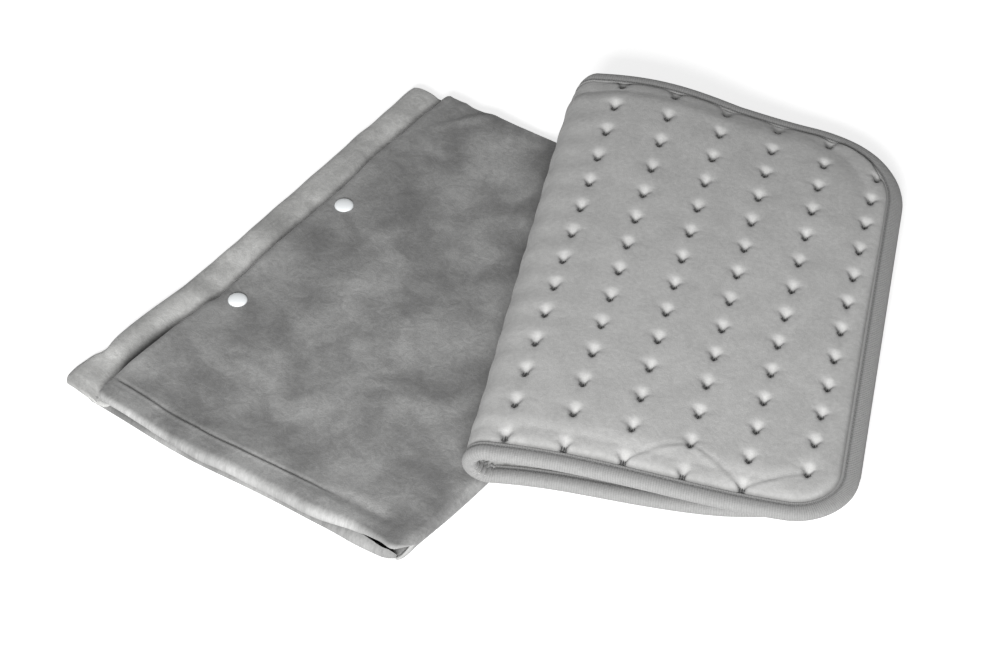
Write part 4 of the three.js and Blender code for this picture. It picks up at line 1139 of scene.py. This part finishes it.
def binding_fold(name, side):
    """The binding at one end of the fold: the section carried round the half circle, pleated inside."""
    form = pad_form()
    ring = binding_ring()
    turns = np.linspace(0, 1, FOLD_RINGS)[:, None]
    way_in = np.array([[0.0, 0.0, 0.0, -side]])
    upper = smooth(turns)
    height = ring[:, 1] * (1.0 - upper) + laid_down(way_in, ring, 1) * upper
    faint, deep, number = 0.0003, 0.0010, 19
    pleats = faint + deep * bell(turns, 0.24, 0.14) * (side < 0)
    wrinkle = pleats * np.sin(turns * math.pi * number) * (ring[:, 1] < 0)
    y = np.broadcast_to(side * (form.half_length - ring[:, 0]), (len(turns), len(ring)))
    points = form.fold_point(turns, height + wrinkle, y)
    along = turns * math.pi * form.fold_radius
    plan = np.stack(np.broadcast_arrays(along, run_length(ring)[None, :]), -1)
    piece = new_piece(name, points, tube_faces(*points.shape[:2]), finish_of("knit"), plan)
    paint_seam_shade(piece, ring, len(points))
    bend_with_fold(piece)
    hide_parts("pad_fold_binding_front" if side < 0 else "pad_fold_binding_rear")


class PADLOOK_OT_bindings(bpy.types.Operator):
    """Make the rib-knit binding round both halves and over the ends of the fold"""

    bl_idname = "padlook.bindings"
    bl_label = "Bindings"

    def execute(self, context):
        binding_round("pad_upper_edge", 1, "pad_upper", "pad_upper_binding")
        binding_round("pad_lower_edge", -1, "pad_lower", "pad_lower_binding")
        binding_fold("pad_fold_edge_front", -1)
        binding_fold("pad_fold_edge_rear", 1)
        return {"FINISHED"}


# Strokes of a bar tack from its tuft: the two ends of each, three along the pad and one across
TACK_STROKES = (
    ((-0.0014, -0.0030), (-0.0014, 0.0010)), ((0.0, -0.0034), (0.0, 0.0016)),
    ((0.0014, -0.0030), (0.0014, 0.0010)), ((-0.0021, -0.0026), (0.0021, -0.0026)),
)
TACK_POINTS = 5
STITCH_POINTS = 5


def tuft_threads(name, way, body):
    """Bar tacks: the strokes of one at the bottom of each tuft."""
    form = pad_form()
    strokes = [np.linspace(start, end, TACK_POINTS) for start, end in TACK_STROKES]
    plan = form.tufts[:, None, None, :] + np.array(strokes)[None]
    plan = plan.reshape(-1, TACK_POINTS, 2)
    x, y = plan[..., 0], plan[..., 1]
    thick = form.outer(x, y) if way > 0 else form.flat_side(x, y)
    paths = form.laid(x, y, form.middle(x, y, way) + way * (thick + 0.0001), way)
    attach(threads(name, paths, TACK_RADIUS, finish_of("thread")), body)


def seam_threads(name, way, body):
    """Stitches in the groove of the binding, in steps of three millimetres."""
    form = pad_form()
    path = binding_path(form, STITCH_STEP)
    groups = (len(path) - 1) // STITCH_POINTS
    stitches = path[: groups * STITCH_POINTS].reshape(groups, STITCH_POINTS, 4)[:, :-1]
    x = stitches[..., 0] + stitches[..., 2] * GROOVE
    y = stitches[..., 1] + stitches[..., 3] * GROOVE
    arch = STITCH_ARCH * np.array([-1.0, 1.0, 1.0, -1.0])
    paths = form.laid(x, y, form.middle(x, y, way) + way * (GROOVE_HEIGHT + arch), way)
    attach(threads(name, paths, STITCH_RADIUS, finish_of("seam")), body)


class PADLOOK_OT_threads(bpy.types.Operator):
    """Sew the tufts and the binding's seams"""

    bl_idname = "padlook.threads"
    bl_label = "Threads"

    def execute(self, context):
        tuft_threads("pad_upper_tuft_threads", 1, "pad_upper")
        tuft_threads("pad_lower_tuft_threads", -1, "pad_lower")
        seam_threads("pad_upper_seam_threads", 1, "pad_upper")
        seam_threads("pad_lower_seam_threads", -1, "pad_lower")
        return {"FINISHED"}


def across_shares(form):
    """Lines across the cover as shares of its length between the side rolls, closer near both sides."""
    near, whole = 0.030, form.cover.length
    front = np.arange(0.0, near, 0.0007)
    middle = np.arange(near, whole - near, 0.0025)
    rear = np.arange(whole - near, whole, 0.0012)
    return np.concatenate([front, middle, rear, [whole]])[1:-1] / whole


def path_normals(path):
    """Ways out from a path of points: a quarter turn to the left of its tangents."""
    along = np.gradient(path, axis=0)
    along /= np.linalg.norm(along, axis=-1, keepdims=True)
    return np.stack([-along[:, 1], along[:, 0]], -1)


def half_round(middle, radius, steps):
    """Points of a half circle that bulges towards the fold, from its top down."""
    angle = np.linspace(math.pi / 2, -math.pi / 2, steps)
    return np.stack([middle[0] + radius * np.cos(angle), middle[1] + radius * np.sin(angle)], -1)


def top_path(form):
    """The outer side of the cover's top: the flap, the ramp, the flat and round the fold to the floor."""
    cover = form.cover
    p = np.concatenate([
        np.linspace(cover.strip, form.hinge, 19),
        np.linspace(form.hinge, form.hinge + cover.ramp, 22)[1:],
        np.linspace(form.hinge + cover.ramp, cover.width - form.fold, 58)[1:-1],
    ])
    rise = (form.flap_top - form.thickness) * fade(p, form.hinge + cover.ramp, cover.ramp)
    arc = half_round((cover.width - form.fold, form.fold), form.fold, 19)
    return np.concatenate([np.stack([p, form.thickness + rise], -1), arc])


def back_path(form):
    """The outer side of the back layer: from the mouth to the fold and back under itself."""
    cover = form.cover
    radius = form.fold - cover.cloth - cover.clearance
    shown = cover.strip + 0.02
    hidden = np.linspace(shown, cover.width - form.fold, 60)[1:-1]
    p = np.concatenate([np.linspace(0, shown, 26), hidden])
    arc = half_round((cover.width - form.fold, form.fold), radius, 11)
    low = np.linspace(cover.width - form.fold, form.back_end, 50)[1:]
    top = np.stack([p, np.full_like(p, form.back_top)], -1)
    below = np.stack([low, np.full_like(low, arc[-1, 1])], -1)
    return np.concatenate([top, arc, below])


ROLL_STEPS = 13
FRONT_ROLL = 0.0026
REAR_ROLL = 0.0022
REAR_TURN = math.radians(120)
BACK_ROLL = 0.0019
BACK_TURN = math.radians(80)
HEM_ROUND = 0.0014
HEM_FLAT = 0.0003


def cover_sheet(form, name, path, thickness, rolls, lift, margins, finish="velvet", pale=1.0, shade=None):
    """A layer of the cover: its path across the width, carried along the length and rolled in at both sides.

    In a roll the way along is the radius times the sine of the angle, and the depth under the path is the
    radius less its cosine. The under side follows the same circle with the thickness taken off its radius.
    rolls holds the radius and the last angle of the front and of the rear side, and margins how far these lie
    inside the length, each for every point of the path. pale is how strong the painted highlight on the rolls
    is, and shade gives where painted shade lies darker.
    """
    out = path_normals(path)
    p, z, run = path[:, 0][None], path[:, 1][None], run_length(path)[None]
    ends = [[np.broadcast_to(part, p.shape) for part in end] for end in rolls]
    (front, front_turn), (rear, rear_turn) = ends
    low, high = front - form.half_length + margins[0], form.half_length - margins[1] - rear
    steps = np.linspace(1, 0, ROLL_STEPS)[:, None]
    shares = across_shares(form)[:, None]
    end = np.minimum(run, run[:, -1:] - run)
    rounded = np.clip(1.0 - end / HEM_ROUND, 0, 1)
    hem = 0.5 * (thickness - HEM_FLAT) * (1.0 - np.sqrt(1.0 - rounded**2))
    sides = []
    for inward in (hem, thickness - hem):
        depth_front = front - (front - inward) * np.cos(front_turn * steps)
        depth_rear = rear - (rear - inward) * np.cos(rear_turn * steps)
        q = np.concatenate([
            low - (front - inward) * np.sin(front_turn * steps), low + (high - low) * shares,
            (high + (rear - inward) * np.sin(rear_turn * steps))[::-1],
        ])
        depth = np.concatenate([depth_front, inward + 0 * shares, depth_rear[::-1]])
        shift = lift(p + 0 * q, np.clip(q, low, high), run + 0 * q) if lift else (0.0, 0.0)
        across, rise = p - out[:, 0] * depth + shift[0], shift[1] - out[:, 1] * depth
        sides.append(form.laid(across, q, z + 0 * q, rise))
    plan = np.stack(np.broadcast_arrays(run, q), -1)
    turned = np.concatenate([front_turn * steps, 0 * p + 0 * shares, (rear_turn * steps)[::-1]])
    # Painted highlight on the rolls, less painted shade where shade gives it
    paler = smooth(turned / math.radians(70)) * fade(turned, math.radians(150), math.radians(60))
    mark = pale * paler - (shade(p + 0 * q, q, run + 0 * q) if shade else 0.0)
    look = ("Turned", mark, form.under_painted_shade_and_light(p))
    return closed_sheet(name, sides[0], sides[1], plan, finish_of(finish), look)


def top_rolls(form, path):
    """Side rolls of the top: wide at the front, open at the far corner's slit, and small at the rear."""
    cover = form.cover
    p = path[:, 0][None]
    fold = fade(p, cover.width - 0.010, 0.028)
    body = climb(p, form.hinge, cover.ramp)
    front = FRONT_ROLL + (0.0032 + 0.0016 * body - FRONT_ROLL) * fold
    turn_front = np.radians(115 + 5 * body - 42 * form.slit(p))
    return (front, turn_front), (REAR_ROLL, REAR_TURN)


GAPE = -0.116


def top_lift(form):
    """How the top lies: bells lift the flap's rim and let it gape beside the snaps, with soft swells."""

    def lift(p, q, run):
        cover = form.cover
        free = np.clip(1.0 - (p - cover.strip) / cover.flap, 0, 1) * (run < cover.flap)
        gape = 0.0024 * bell(q, GAPE, 0.022) + 0.0010 * bell(q, -0.010, 0.030)
        gape = gape + 0.0012 * bell(q, 0.085, 0.030) - 0.0008 * climb(q, 0.110, 0.040)
        still = sum(bell(p, form.snap_p, 0.012) * bell(q, snap, 0.012) for snap in form.snaps)
        rim = 0.0006 * bell(p - cover.strip, 0.0012, 0.0013) * (run < cover.flap)
        on_top = fade(p, cover.width - 0.010, 0.02) * (run < cover.width - cover.strip - 0.004)
        shown = form.clear_of_pad(p, q) * on_top
        swell = 0.0013 * wander(p, q, 0.080, 21) + 0.0006 * wander(p, q, 0.034, 22)
        swell = swell + 0.0002 * wander(p, q, 0.013, 23)
        rise = (gape * free**1.5 + swell * shown) * (1.0 - still) + rim
        shift = form.flap_edge(q) * free * (1.0 - still)
        return shift, rise + form.seam(p, q) * on_top + form.crease(p, q) * on_top

    return lift


def back_lift(form):
    """How the back layer lies: a sine puffs the strip, and bells sink it beside the flap and crease it."""

    def lift(p, q, run):
        cover = form.cover
        valley = cover.strip + form.flap_edge(q) - 0.0050
        out = np.clip(p / valley, 0, 1)
        past = fade(run, cover.strip + 0.012, 0.012)
        shown = 1.0 * (run < cover.strip) + (run >= cover.strip) * past
        edge = -0.0052 * climb(-q, 0.045, 0.075) + 0.0012 * bell(q, -0.131, 0.006)
        edge = edge - 0.0030 * climb(-q, 0.132, 0.026) + 0.0004 * wander(q, 0 * q, 0.03, 31)
        full = 0.8 + 0.5 * bell(q, -0.108, 0.030) - 0.5 * climb(-q, 0.128, 0.012)
        puff = 0.0034 * full * np.sin(math.pi * out**0.75)
        gap = bell(q, GAPE, 0.020)
        sunk = (0.0010 + 0.0022 * gap) * bump(np.minimum(p - valley, 0.0) / (0.0030 + 0.0022 * gap))
        stub = -0.0015 * bump((q + 0.129 + 1.9 * (p + 0.0024)) / 0.0043)
        long = -0.0010 * bump((p - 0.016 + 0.32 * (q + 0.088)) / 0.0018) * bell(q, -0.074, 0.016)
        low = -0.0014 * (1.0 - out) - 0.0016 * climb(-q, 0.150, 0.015) * (1.0 - out)
        soft = 0.0005 * wander(p, q, 0.03, 33)
        return edge * (1.0 - out), (puff - sunk + stub + long + low + soft) * shown

    return lift


def gap_shade(form):
    """Where the strip lies in the dark beside the flap's edge: a bell across the gap, eased at both ends."""

    def shade(p, q, run):
        wide = 0.0026 + 0.0016 * bell(q, GAPE, 0.016)
        across = (p - form.cover.strip - form.flap_edge(q) + 0.0058) / wide
        along = climb(q, -0.150, 0.016) * fade(q, -0.084, 0.022)
        return bump(across) * along * (run < form.cover.strip + 0.010)

    return shade


# How much thinner each layer is than its cloth
TOP_THIN, BACK_THIN, BASE_THIN = 0.0002, 0.0004, 0.0001
HINGE_REACH = 0.006


def cover_top(form):
    """The top with its flap, baked into the frame as one sheet."""
    cover = form.cover
    path = top_path(form)
    p = path[:, 0]
    margins = (form.front_margin(p) + form.recess(p), form.rear_margin(p))
    rolls = top_rolls(form, path)
    # The top's rolls get the painted highlight at full strength
    top = cover_sheet(form, "cover_top", path, cover.cloth - TOP_THIN, rolls, top_lift(form), margins)
    hinge_p = form.hinge - cover.width / 2
    places = [np.array((hinge_p + reach, 0.0, form.flap_top)) for reach in (HINGE_REACH, -HINGE_REACH)]
    ends = [form.turned(*place) for place in places]
    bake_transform(top)
    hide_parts("cover_outer_panel", "cover_mouth_flap")


def cover_back(form):
    """The back layer: its strip shows past the flap, and the rest lies hidden further in from the sides."""
    cover = form.cover
    path = back_path(form)
    p = path[:, 0]
    hidden = climb(run_length(path) - cover.strip, -0.004, 0.010)
    inside = 0.0055 + form.front_margin(p) + 0.020 * form.slit(p)
    tip = 0.0030 * fade(p, 0.010, 0.010) - 0.0008
    margins = (hidden * inside + tip * (1.0 - hidden), 0.0065 - 0.0005 * hidden)
    rolls = ((BACK_ROLL, BACK_TURN), (BACK_ROLL, BACK_TURN))
    back = cover_sheet(
        form, "cover_back", path, cover.cloth - BACK_THIN, rolls, back_lift(form), margins,
        "velvet_inside", 0.0, gap_shade(form))
    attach(back, "cover")
    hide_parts("cover_inner_panel")


def cover_base(form):
    """The base, whose front side rolls up to a lip that stands off the top near the far corner."""
    cover = form.cover
    p = np.linspace(cover.width - form.fold, cover.corner, 60)
    path = np.stack([p, 0 * p], -1)
    lip_turn = np.radians(177 - 35 * climb(p, 0.206, 0.027))
    lip = FRONT_ROLL + 0.0022 * climb(p, 0.172, 0.036) * fade(p, 0.2350, 0.006)
    rolls = ((lip, lip_turn), (REAR_ROLL, REAR_TURN))
    margins = (form.front_margin(p) + 0.0008, form.rear_margin(p))
    # The base's rolls get the painted highlight at a fifth of full strength
    base = cover_sheet(form, "cover_base", path, cover.cloth - BASE_THIN, rolls, None, margins, pale=0.2)
    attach(base, "cover")
    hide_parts("cover_outer_panel")


class PADLOOK_OT_cover(bpy.types.Operator):
    """Make the velvet cover: its top with the flap, its back layer and its base"""

    bl_idname = "padlook.cover"
    bl_label = "Cover"

    def execute(self, context):
        form = cover_form()
        cover_top(form)
        cover_back(form)
        cover_base(form)
        return {"FINISHED"}


RING_POINTS = 48
AXIS = 0.0002


def turned_piece(name, form, q, outline, finish):
    """A turned piece at a snap's place: its outline of radii and heights carried round a circle."""
    outline = np.asarray(outline)
    angle = np.linspace(0, 2 * math.pi, RING_POINTS, endpoint=False)
    ring = np.stack([np.cos(angle), np.sin(angle)], -1)
    x = form.snap_p - form.cover.width / 2 + outline[:, 0:1] * ring[None, :, 0]
    y = q + outline[:, 0:1] * ring[None, :, 1]
    points = form.turned(x, y, np.broadcast_to(outline[:, 1:2], x.shape))
    rows, columns = points.shape[:2]
    if outline[0, 0] == outline[-1, 0] and outline[0, 1] == outline[-1, 1]:
        points = points[:-1]
        around = grid_faces(rows, columns, True)
        faces = around % ((rows - 1) * columns)
    else:
        faces = tube_faces(rows, columns)
    return new_piece(name, points, faces, finish, crease=40.0)


def snap_outlines(form, snap):
    """Outlines of the four parts of a closed snap, as radii and heights in order round each section."""
    gap = form.cover.clearance
    stud_low = form.back_top + gap
    stud_top = stud_low + snap.stud_base
    socket_low = stud_top + gap
    socket_top = socket_low + snap.socket_rise
    recess_top = socket_low + snap.recess
    cap_low = form.flap_top - snap.cap_sink + gap
    r, rise, post, bore = snap.cap_radius, snap.cap_rise, snap.post_radius, snap.post_radius + gap
    head, disc = snap.head_radius, snap.disc_radius
    back = form.back_top - form.cover.cloth
    hollow = head + snap.play
    angle = np.linspace(0.0, 1.35, 9)
    dome = [(r * c, cap_low + rise * (0.30 + 0.70 * s)) for c, s in zip(np.cos(angle), np.sin(angle))]
    return {
        "cap": [(AXIS, recess_top + gap), (post, recess_top + gap), (post, cap_low), (r * 0.97, cap_low),
                (r, cap_low + rise * 0.1), *dome, (r * 0.12, cap_low + rise * 0.995),
                (AXIS, cap_low + rise)],
        "socket": [(bore, socket_top), (bore, recess_top), (hollow, recess_top), (hollow, socket_low),
                   (disc * 0.96, socket_low), (disc, socket_low + 0.0002), (disc, socket_top - 0.0003),
                   (disc * 0.95, socket_top), (bore, socket_top)],
        "stud": [(AXIS, stud_top), (bore, stud_top), (bore, stud_low), (disc * 0.96, stud_low),
                 (disc, stud_low + 0.0002), (disc * 0.97, stud_top), (head, stud_top),
                 (head, recess_top - 2 * gap), (head * 0.7, recess_top - gap), (AXIS, recess_top - gap)],
        "back": [(AXIS, back), (r * 0.96, back), (r, back + 0.0003), (r, back + rise * 0.8),
                 (r * 0.9, back + rise), (post, back + rise), (post, stud_top - gap),
                 (AXIS, stud_top - gap)],
    }


class PADLOOK_OT_snaps(bpy.types.Operator):
    """Make the caps, sockets, studs and back caps of both snaps"""

    bl_idname = "padlook.snaps"
    bl_label = "Snaps"

    def execute(self, context):
        form = cover_form()
        outlines = snap_outlines(form, context.scene.snap_sizes)
        bodies = {"cap": "cover_flap", "socket": "cover_flap", "stud": "cover", "back": "cover"}
        for end, q in zip(("front", "rear"), form.snaps):
            for part, outline in outlines.items():
                piece = turned_piece(f"snap_{part}_{end}_moulded", form, q, outline, finish_of("snap"))
                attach(piece, bodies[part])
                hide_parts(f"snap_{part}_{end}")
        return {"FINISHED"}


class PADLOOK_OT_fittings(bpy.types.Operator):
    """Finish the inlet, the wire, the felt and the thermostats, whose solids stay"""

    bl_idname = "padlook.fittings"
    bl_label = "Inlet and heating core"

    def execute(self, context):
        kinds = {
            "shell": ("inlet_base", "inlet_lid"),
            "insulator": ("inlet_pin_block",),
            "brass": ("inlet_pin_1", "inlet_pin_2", "inlet_pin_3"),
            "sheath": ("inlet_lead_1", "inlet_lead_2", "pad_upper_wire", "pad_lower_wire"),
            "felt": ("pad_upper_carrier", "pad_lower_carrier"),
            "steel": ("pad_upper_thermostat", "pad_lower_thermostat"),
        }
        for key, nodes in kinds.items():
            for node in nodes:
                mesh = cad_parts[node].data
                mesh.materials.clear()
                mesh.materials.append(finish_of(key))
        return {"FINISHED"}


class PADLOOK_OT_stage(bpy.types.Operator):
    """Set the camera, the soft light and the pale floor"""

    bl_idname = "padlook.stage"
    bl_label = "Stage"

    def execute(self, context):
        stage = context.scene.pad_stage
        self.camera(context, stage)
        self.lights(context, stage)
        self.floor(context)
        context.scene.view_settings.view_transform = "Standard"
        return {"FINISHED"}

    def camera(self, context, stage):
        """A camera at a distance back from its aim, turned to look along its way and rolled a little."""
        data = bpy.data.cameras.new("Camera")
        data.sensor_width, data.lens = 36.0, stage.lens
        data.clip_start, data.clip_end = 0.05, 50.0
        cos, sin = math.cos(stage.elevation), math.sin(stage.elevation)
        ahead = np.array([math.sin(stage.azimuth) * cos, math.cos(stage.azimuth) * cos, -sin])
        right = np.cross(ahead, [0.0, 0.0, 1.0])
        right /= np.linalg.norm(right)
        up = np.cross(right, ahead)
        c, s = math.cos(stage.roll), math.sin(stage.roll)
        right, up = right * c + up * s, up * c - right * s
        place = np.array(stage.aim) - ahead * stage.distance
        matrix = np.eye(4)
        matrix[:3, 0], matrix[:3, 1], matrix[:3, 2], matrix[:3, 3] = right, up, -ahead, place
        camera = bpy.data.objects.new("Camera", data)
        camera.matrix_world = matrix.T.tolist()
        context.scene.collection.objects.link(camera)
        context.scene.camera = camera

    def lights(self, context, stage):
        """A wide soft light from the front, and an even world whose strength stays plain."""
        data = bpy.data.lights.new("Front light", "AREA")
        data.shape, data.energy = "RECTANGLE", stage.key
        data.size, data.size_y = 0.70, 0.42
        lamp = bpy.data.objects.new("Front light", data)
        lamp.location = (0.10, -1.44, 0.81)
        lamp.rotation_euler = (math.radians(61), 0.0, math.radians(4))
        context.scene.collection.objects.link(lamp)
        world = bpy.data.worlds.new("Studio")
        world.use_nodes = True
        back = world.node_tree.nodes["Background"]
        back.inputs["Color"].default_value = (1.0, 1.0, 1.0, 1.0)
        back.inputs["Strength"].default_value = stage.fill
        context.scene.world = world

    def floor(self, context):
        """A pale floor that shows the camera white but keeps the shadow."""
        plain = {"Roughness": 0.9, "Specular IOR Level": 0.1, "Emission Strength": 0.60}
        finish, tree, shader, place = new_finish("Floor", False, **plain)
        grain = place_group(tree, "Moulded grain", place, Grain=60.0)
        tone = shaded(tree, (0.90, 0.90, 0.90), (grain["Shade"], 0.99, 1.0))
        tree.links.new(tone, shader.inputs["Base Color"])
        path = tree.nodes.new("ShaderNodeLightPath").outputs
        seen = math_node(tree, "MAXIMUM", path["Is Camera Ray"], path["Is Glossy Ray"])
        seen = math_node(tree, "MAXIMUM", seen, path["Is Transmission Ray"])
        tree.links.new(math_colour(tree, (1.0, 1.0, 1.0), seen), shader.inputs["Emission Color"])
        reach, top, bottom = 4.0, -0.0002, -0.0202
        edge = np.linspace(-reach, reach, 9)
        x, y = np.meshgrid(edge, edge, indexing="ij")
        sides = [np.stack([x, y, np.full_like(x, z)], -1) for z in (top, bottom)]
        floor = closed_sheet("Floor", sides[0], sides[1], np.stack([x, y], -1), finish)


class PADLOOK_PT_panel(bpy.types.Panel):
    """Sizes, colours and the steps that build the looks"""

    bl_idname = "PADLOOK_PT_panel"
    bl_label = "Heating pad"
    bl_space_type = "VIEW_3D"
    bl_region_type = "UI"
    bl_category = "Heating pad"

    def draw(self, context):
        layout = self.layout
        for step in STEPS:
            layout.operator(step.bl_idname)
        for key in SETTINGS:
            group = getattr(context.scene, key)
            box = layout.box()
            box.label(text=key.replace("_", " ").capitalize())
            for prop in group.bl_rna.properties:
                if prop.identifier not in ("rna_type", "name"):
                    box.prop(group, prop.identifier)


SETTINGS = {
    "pad_sizes": PadSizes,
    "cover_sizes": CoverSizes,
    "snap_sizes": SnapSizes,
    "pad_finishes": Finishes,
    "pad_stage": StageSettings,
}
STEPS = [
    PADLOOK_OT_stage, PADLOOK_OT_halves, PADLOOK_OT_fold, PADLOOK_OT_bindings,
    PADLOOK_OT_threads, PADLOOK_OT_cover, PADLOOK_OT_snaps, PADLOOK_OT_fittings,
]
CLASSES = [*SETTINGS.values(), *STEPS, PADLOOK_PT_panel]


def register():
    """Register the classes and hang the settings on the scene."""
    for cls in CLASSES:
        bpy.utils.register_class(cls)
    for key, group in SETTINGS.items():
        setattr(bpy.types.Scene, key, bpy.props.PointerProperty(type=group))


def unregister():
    """Take the settings and the classes away again."""
    for key in SETTINGS:
        delattr(bpy.types.Scene, key)
    for cls in reversed(CLASSES):
        bpy.utils.unregister_class(cls)


def main():
    """Build everything in order."""
    register()
    for step in STEPS:
        group, name = step.bl_idname.split(".")
        if getattr(getattr(bpy.ops, group), name)() != {"FINISHED"}:
            raise RuntimeError(f"{step.bl_idname} did not finish")


if __name__ == "__main__":
    main()
